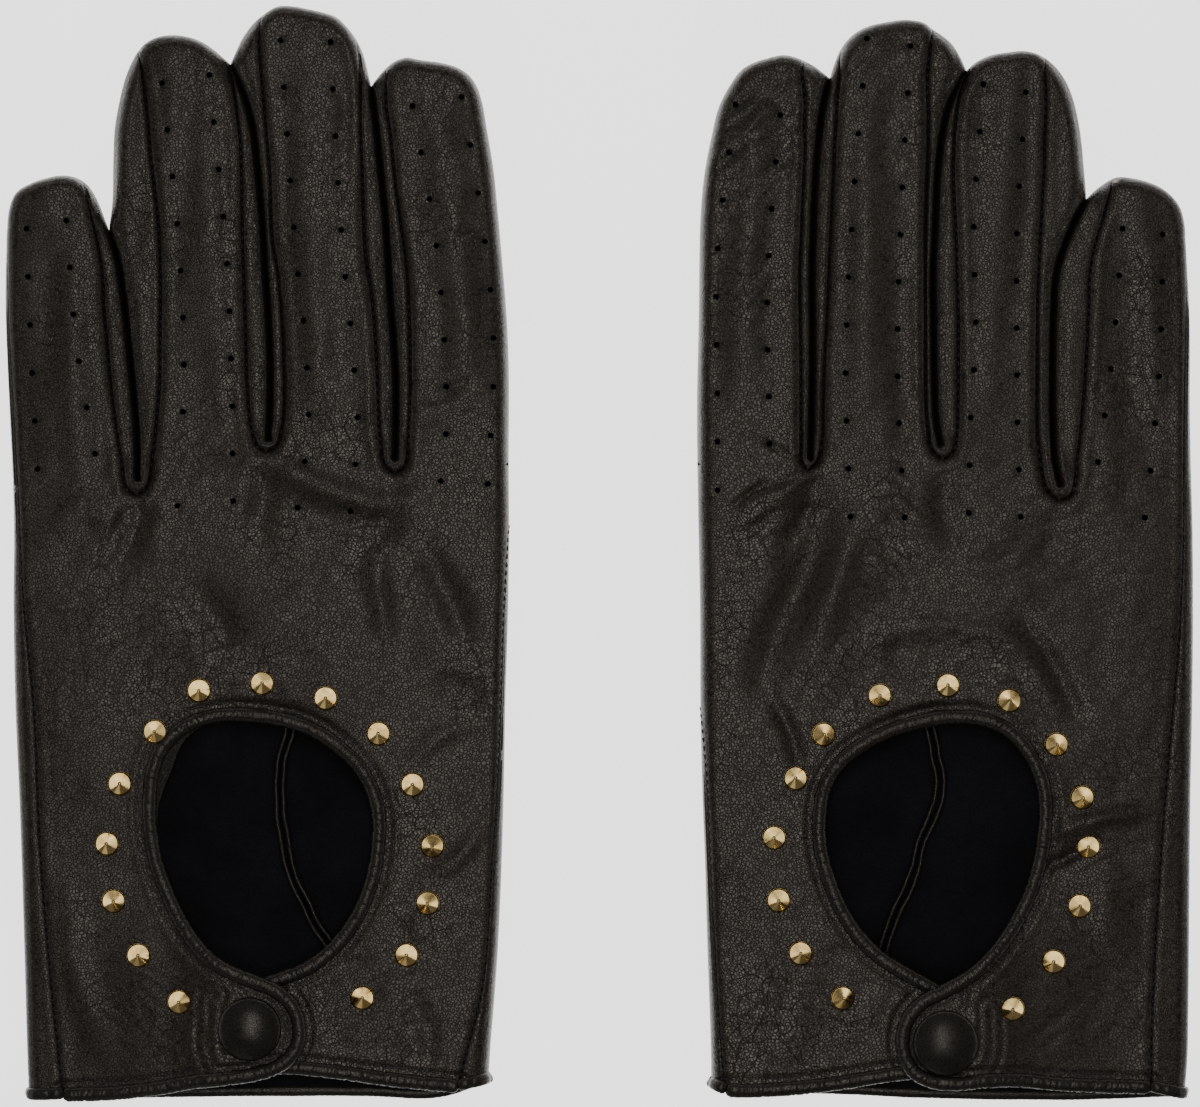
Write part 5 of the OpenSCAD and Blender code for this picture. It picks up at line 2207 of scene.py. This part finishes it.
@dataclass
class Keyhole(GlovePart):
    """The bound keyhole opening: binding, facing, wrist binding and their stitches."""

    stitches: Repeat | None = None
    half_width: float = 1.5
    half_height: float = 1.15
    facing_width: float = 4.0
    facing_drop: float = 1.35
    stitch_gap: float = 2.35

    def bound(self, line: Array, height: Callable[[Array], Array], lift: float = 0.0) -> Shell:
        """Fold the binding over an edge.

        Args:
            line: The edge on the plan.
            height: Height of the leather over points on the plan.
            lift: How far the strip's middle lies above the leather.

        Returns:
            The folded strip.
        """
        path = resampled(np.column_stack([line, height(line) + lift]), 0.22)
        path[:, 2] = np.convolve(np.pad(path[:, 2], 6, mode="edge"), np.ones(13) / 13, mode="valid")
        return tube(path, self.half_width, self.half_height, 0.13)

    def build(self) -> None:
        """Bind the opening, the tab and the hem."""
        form = self.form

        def raised(plan: Array) -> Array:
            """Height of the leather at the tab's binding."""
            return form.crown(plan) + form.relief(plan) + form.lap_rise(plan)

        def flat(plan: Array) -> Array:
            """Height of the leather at the other bindings."""
            under_tab = form.pattern.inward_x(plan[:, 0]) >= -14
            return form.crown(plan) + form.relief(plan) + np.where(under_tab, 0.0, form.lap_rise(plan))

        keyhole, tab, hem = (
            form.binding[: form.first + 4], form.binding[
                form.first : form.last + 1
            ], form.binding[form.last - 4 :]
        )
        piece = made(f"{self.side}_keyhole_binding_strip", self.bound(keyhole, flat), [self.wardrobe.strip])
        self.on_hand(piece, "binding_leather", "keyhole_binding")
        piece = made(f"{self.side}_tab_binding_strip", self.bound(tab, raised), [self.wardrobe.strip])
        self.on_tab(piece, "binding_leather", "tab_binding")
        lap = form.underlap[18:]
        wrist = joined([self.bound(hem, flat), self.bound(lap, flat)])
        self.on_hand(
            made(f"{self.side}_wrist_binding_strip", wrist, [self.wardrobe.strip]), "binding_leather",
            "wrist_binding",
        )
        off = self.stitch_gap * form.pattern.outward
        self.on_hand(self._sewn("keyhole_stitches", beside(keyhole[8:], off), form.top), "thread")
        self.on_tab(self._sewn("tab_stitches", beside(tab, off), form.tab_top), "thread")
        self.on_hand(self._sewn("hem_stitches", beside(hem, off), form.top), "thread")
        self.on_hand(self._sewn("underlap_stitches", beside(lap, -off), form.top), "thread")
        self._facing(keyhole)

    def _sewn(self, name: str, line: Array, height: Callable[[Array], Array]) -> bpy.types.Object:
        """Stitches of one line."""
        return self.stitched(f"{self.side}_{name}", [line], height, self.stitches)

    def _facing(self, keyhole: Array) -> None:
        """Lay the facing under the bound edge, where a little of it can show inside the opening.

        Args:
            keyhole: The bound edge of the opening.
        """
        form = self.form
        share = np.linspace(0, 1, len(keyhole))
        shows = 0.2 + form.pattern.facing_shows * np.exp(-(((share - 0.755) / 0.06) ** 2))
        away = (beside(keyhole, 1.0) - keyhole) * -form.pattern.outward
        inner = keyhole + away * (shows[:, None] + 1.0)
        outer = keyhole - away * self.facing_width
        inner, outer = inner[12:-12:3], outer[12:-12:3]
        outline = [
            Stretch(Edge.HEM, inner),
            Stretch(Edge.HEM, np.vstack([inner[-1], outer[-1]])),
            Stretch(Edge.HEM, outer[::-1]),
            Stretch(Edge.HEM, np.vstack([outer[0], inner[0]])),
        ]

        def height(plan: Array) -> Array:
            """Grain side of the facing."""
            return form.crown(plan) + form.relief(plan) - self.facing_drop

        strip = shaped(Sheet(outline), height, 0.5)
        piece = made(f"{self.side}_keyhole_facing_strip", strip, [self.wardrobe.facing])
        self.on_hand(piece, "glove_leather", "keyhole_facing")


@dataclass
class WristTab(GlovePart):
    """The rounded tab over the underlap, and its leather-covered snap cap."""

    dome: float = 2.9

    def build(self) -> None:
        """Cut and shape the tab and its cap."""
        form = self.form
        line = form.binding[form.first : form.last + 1]
        sheet = Sheet([Stretch(Edge.HEM, line), Stretch(Edge.CUT, form.tab_cut()[::-1])], spacing=0.7)
        across = form.pattern.inward_x(sheet.plan[:, 0])
        thickness = form.leather + (form.tab_leather - form.leather) * ease(-12, -7, across)
        piece = made(f"{self.side}_wrist_tab", shaped(sheet, form.tab_top, thickness), self.wardrobe.leather())
        self.on_tab(piece, "glove_leather", "strap_tab")
        self._cap()

    def _cap(self) -> None:
        """Stretch thin leather over the domed cap."""
        pattern = self.form.pattern
        centre = np.array([pattern.cap])
        base = float(self.form.tab_top(centre)[0])
        radius = pattern.cap_radius
        brow, shoulder = 0.86, 1.42
        side = (
            (brow, -0.5), (0.97, -0.2), (1.0, 0.25), (0.992, 0.62), (0.965, 0.95), (0.92, 1.2), (brow, shoulder)
        )
        profile = [(radius * share, z) for share, z in side]
        for share in (0.75, 0.62, 0.48, 0.34, 0.2, 0.08):
            profile.append((radius * share, shoulder + (self.dome - shoulder) * (1 - (share / brow) ** 2.2)))
        turns = np.linspace(0, 2 * np.pi, 97)[:-1]
        rings = []
        for r, z in profile:
            plan = np.column_stack([np.cos(turns), np.sin(turns)])
            pleat = 0.05 * (r > radius * 0.9) * waves(plan * 22, 1.1, 1.1, 0, 13)
            dent = 0.05 * waves(plan * r, 4, 4, 0, 14)
            rings.append(
                np.column_stack([centre + plan * r * (1 + pleat[:, None] * 0.12), base + z + pleat + dent])
            )
        n = len(turns)
        points = np.vstack(
            rings + [np.array([[*pattern.cap, base + self.dome]]), np.array([[*pattern.cap, base - 0.5]])]
        )
        faces: list[tuple[int, ...]] = []
        for k in range(len(rings) - 1):
            faces += [
                (k * n + j, k * n + (j + 1) % n, (k + 1) * n + (j + 1) % n, (k + 1) * n + j) for j in range(n)
            ]
        top, foot = len(points) - 2, len(points) - 1
        last = (len(rings) - 1) * n
        faces += [(last + j, last + (j + 1) % n, top) for j in range(n)]
        faces += [((j + 1) % n, j, foot) for j in range(n)]
        triangles = np.array(
            [(f[0], f[1], f[2]) for f in faces] + [(f[0], f[2], f[3]) for f in faces if len(f) == 4]
        )
        normal = normals_of(points, triangles)
        corner = np.vstack([normal[list(f)] for f in faces])
        piece = made(
            f"{self.side}_covered_cap", Shell(points, faces, corner, [0] * len(faces)), [self.wardrobe.cap]
        )
        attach(piece, f"{self.side}_tab")
        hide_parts(f"{self.side}_snap_cap")


@dataclass
class Studs(GlovePart):
    """The ring of cone studs round the keyhole."""

    studs: Repeat | None = None
    lean: float = 0.12

    def build(self) -> None:
        """Set the studs square on the leather, each a little askew."""
        plan = np.array(self.form.pattern.studs)
        direction = upright(self.form.crown, plan, 2.0)
        direction[:, 0] += self.lean * waves(plan, 5, 5, 0, 31)
        direction[:, 1] += self.lean * waves(plan, 5, 5, 0, 32)
        direction /= np.linalg.norm(direction, axis=1)[:, None]
        seat = np.where(
            self.form.pattern.inward_x(plan[:, 0]) < -15, self.form.top(plan), self.form.tab_top(plan)
        )
        seat = np.where(plan[:, 0] * self.form.pattern.outward > 80, seat, self.form.top(plan))
        places = np.column_stack([plan, seat + 0.1])
        piece = self.studs.run(f"{self.side}_gold_cone_studs", places, [], self.wardrobe.gold, direction)
        self.on_hand(piece, "stud_brass", "cone_studs")


@dataclass
class Thumb(GlovePart):
    """The thumb, folded flat under the palm."""

    base: Point = (34.4, -46.0)
    base_radius: float = 15.3
    tip_radius: float = 10.8
    reach: float = 32.0
    turn: float = 20.0
    half_height: float = 1.5
    shoulder: float = 5.0
    seam_level: float = 1.62
    thickness: float = 0.7

    def outline(self) -> Array:
        """Plan of the thumb: two circles and the sides that touch both.

        Returns:
            Evenly spaced points, closed.
        """
        out = self.form.pattern.outward
        a = np.array(self.base)
        tip = a + self.reach * np.array([-math.sin(math.radians(self.turn)), math.cos(math.radians(self.turn))])
        toward = math.atan2(tip[1] - a[1], tip[0] - a[0])
        swing = math.acos((self.base_radius - self.tip_radius) / self.reach)
        low = np.linspace(toward + swing, toward + 2 * math.pi - swing, 40)
        high = np.linspace(toward - swing, toward + swing, 28)
        ring = np.vstack([
            a + self.base_radius * np.column_stack([np.cos(low), np.sin(low)]),
            tip + self.tip_radius * np.column_stack([np.cos(high), np.sin(high)]),
        ])
        ring[:, 0] = out * (72.5 - ring[:, 0])
        return resampled(np.vstack([ring, ring[:1]]), 0.9)

    def build(self) -> None:
        """Cut and shape the two halves of the thumb."""
        line = self.outline()
        edge = Track(line)
        for name, node, way in (("thumb_palm_side", "thumb_front", -1), ("thumb_back_side", "thumb_back", 1)):

            def height(plan: Array) -> Array:
                """Grain side of this half."""
                swell = bulge(edge.away(plan) / self.shoulder) * (1 + 0.03 * waves(plan, 9, 16, 70, 15))
                return self.seam_level + way * self.half_height * swell

            sheet = Sheet([Stretch(Edge.RIM, line)], spacing=1.2)
            shell = shaped(sheet, height, self.thickness, downward=way < 0)
            piece = made(f"{self.side}_{name}", shell, self.wardrobe.leather())
            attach(piece, f"{self.side}_thumb")
            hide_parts(f"{self.side}_{node}")


@dataclass
class HiddenSnap(GlovePart):
    """The snap's metal parts and the stud backs, whose CAD shapes are already right."""

    nodes: tuple[str, ...] = ("snap_socket", "snap_stud", "snap_post", "stud_backs")

    def dress(self, frame: dict) -> None:
        """Give the CAD parts their metal.

        Args:
            frame: The loaded frame.
        """
        for node in self.nodes:
            holder = frame["nodes"][f"{self.side}_{node}"]
            holder.data.materials.clear()
            holder.data.materials.append(self.wardrobe.brass)


class Glove:
    """One whole glove."""

    def __init__(self, pattern: Pattern, wardrobe: Wardrobe, repeats: dict[str, Repeat]) -> None:
        """Work out the form and its sub-assemblies.

        Args:
            pattern: The glove's pattern.
            wardrobe: The finishes.
            repeats: The trees for stitches, studs and hole rims.
        """
        form = GloveForm(pattern)
        self.hidden = HiddenSnap(form, wardrobe)
        self.parts = [
            Back(form, wardrobe, repeats["rims"]),
            Fourchettes(form, wardrobe, repeats["stitches"]),
            Palm(form, wardrobe, repeats["stitches"]),
            Keyhole(form, wardrobe, repeats["stitches"]),
            WristTab(form, wardrobe),
            Studs(form, wardrobe, repeats["studs"]),
            Thumb(form, wardrobe),
        ]

    def build(self, frame: dict) -> None:
        """Build every sub-assembly.

        Args:
            frame: The loaded frame.
        """
        for part in self.parts:
            part.build()
        self.hidden.dress(frame)


# ---------------------------------------------------------------- studio


@dataclass(frozen=True)
class Studio:
    """Pale floor that glows round the middle, soft lights and a camera that looks straight down."""

    eye_height: float = 1.4
    view_width: float = 0.252
    focus_plane: float = 0.008
    floor_level: float = -0.105
    floor_reach: float = 3.0
    backdrop: str = "#ffffff"

    def build(self) -> None:
        """Set up the floor, the lights and the camera."""
        self._floor()
        self._light("Key_strip_softbox", (0.0, 0.05, 1.05), 0.15, 0.9, 3.1)
        self._light("Overhead_softbox", (0.0, 0.2, 1.7), 2.4, 2.0, 1.4)
        self._light("Left_softbox", (-1.3, 0.2, 0.15), 2.3, 0.34, 4.2)
        self._light("Right_softbox", (1.3, 0.2, 0.15), 2.3, 0.34, 4.2)
        self._light("Back_softbox", (0.0, 1.35, 0.15), 2.5, 0.34, 4.8)
        self._light("Front_softbox", (-0.5, -1.5, 0.5), 0.9, 0.8, 0.9)
        world = bpy.data.worlds.new("Studio_air")
        world.use_nodes = True
        world.node_tree.nodes["Background"].inputs["Color"].default_value = (1, 1, 1, 1)
        world.node_tree.nodes["Background"].inputs["Strength"].default_value = 0.12
        bpy.context.scene.world = world
        camera = bpy.data.cameras.new("Overhead_camera")
        camera.sensor_width = 36.0
        camera.lens = 36.0 * (self.eye_height - self.focus_plane) / self.view_width
        camera.clip_start, camera.clip_end = 0.05, 20.0
        holder = bpy.data.objects.new("Overhead_camera", camera)
        holder.location = (0, 0, self.eye_height)
        bpy.context.scene.collection.objects.link(holder)
        bpy.context.scene.camera = holder

    def _floor(self) -> None:
        """Lay the pale floor, which glows: brightest round the middle, faint further out."""
        mesh = bpy.data.meshes.new("Pale_floor")
        r, z = self.floor_reach, self.floor_level
        mesh.from_pydata([(-r, -r, z), (r, -r, z), (r, r, z), (-r, r, z)], [], [(0, 1, 2, 3)])
        material, tree, place = blank("Matt_white_glowing_backdrop")
        tooth = add_node(tree, "ShaderNodeTexNoise", {"Scale": 900.0}, {"Vector": (place, "Object")})
        bump = add_node(tree, "ShaderNodeBump", {"Strength": 0.05, "Distance": 0.0001}, {"Height": (tooth, 0)})
        far = add_node(tree, "ShaderNodeVectorMath", {"operation": "LENGTH"}, {0: (place, "Object")})
        # painted light: the floor glows at strength 2 near the middle, fading to 0.15 further out
        glow = add_node(
            tree, "ShaderNodeMapRange",
            {
                "interpolation_type": "SMOOTHSTEP", "From Min": 0.2, "From Max": 0.32, "To Min": 2.0,
                "To Max": 0.15,
            },
            {"Value": (far, "Value")},
        )
        paper = add_node(
            tree, "ShaderNodeBsdfPrincipled",
            {"Base Color": linear(self.backdrop), "Roughness": 0.9, "Emission Color": (1, 1, 1, 1)},
            {"Normal": (bump, 0), "Emission Strength": (glow, 0)},
        )
        add_node(tree, "ShaderNodeOutputMaterial", {}, {"Surface": (paper, 0)})
        mesh.materials.append(material)
        floor = bpy.data.objects.new("Pale_floor", mesh)
        bpy.context.scene.collection.objects.link(floor)

    @staticmethod
    def _light(name: str, place: tuple[float, float, float], wide: float, tall: float, power: float) -> None:
        """Hang one soft light and aim it at the gloves.

        Args:
            name: Name of the light.
            place: Where it hangs, in metres.
            wide: Its width in metres.
            tall: Its other size in metres.
            power: Its power in watts.
        """
        light = bpy.data.lights.new(name, "AREA")
        light.shape, light.size, light.size_y, light.energy = "RECTANGLE", wide, tall, power
        holder = bpy.data.objects.new(name, light)
        holder.location = place
        holder.rotation_euler = (-Vector(place)).to_track_quat("-Z", "Y").to_euler()
        bpy.context.scene.collection.objects.link(holder)


def main() -> None:
    logging.basicConfig(level=logging.INFO, format="%(name)s: %(message)s")
    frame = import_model()
    wardrobe = Wardrobe()
    repeats = {"stitches": stitch_repeat(), "studs": stud_repeat(), "rims": rim_repeat()}
    for pattern in (LEFT, RIGHT):
        Glove(pattern, wardrobe, repeats).build(frame)
        log.info("%s glove done", pattern.side)
    Studio().build()


if __name__ == "__main__":
    main()
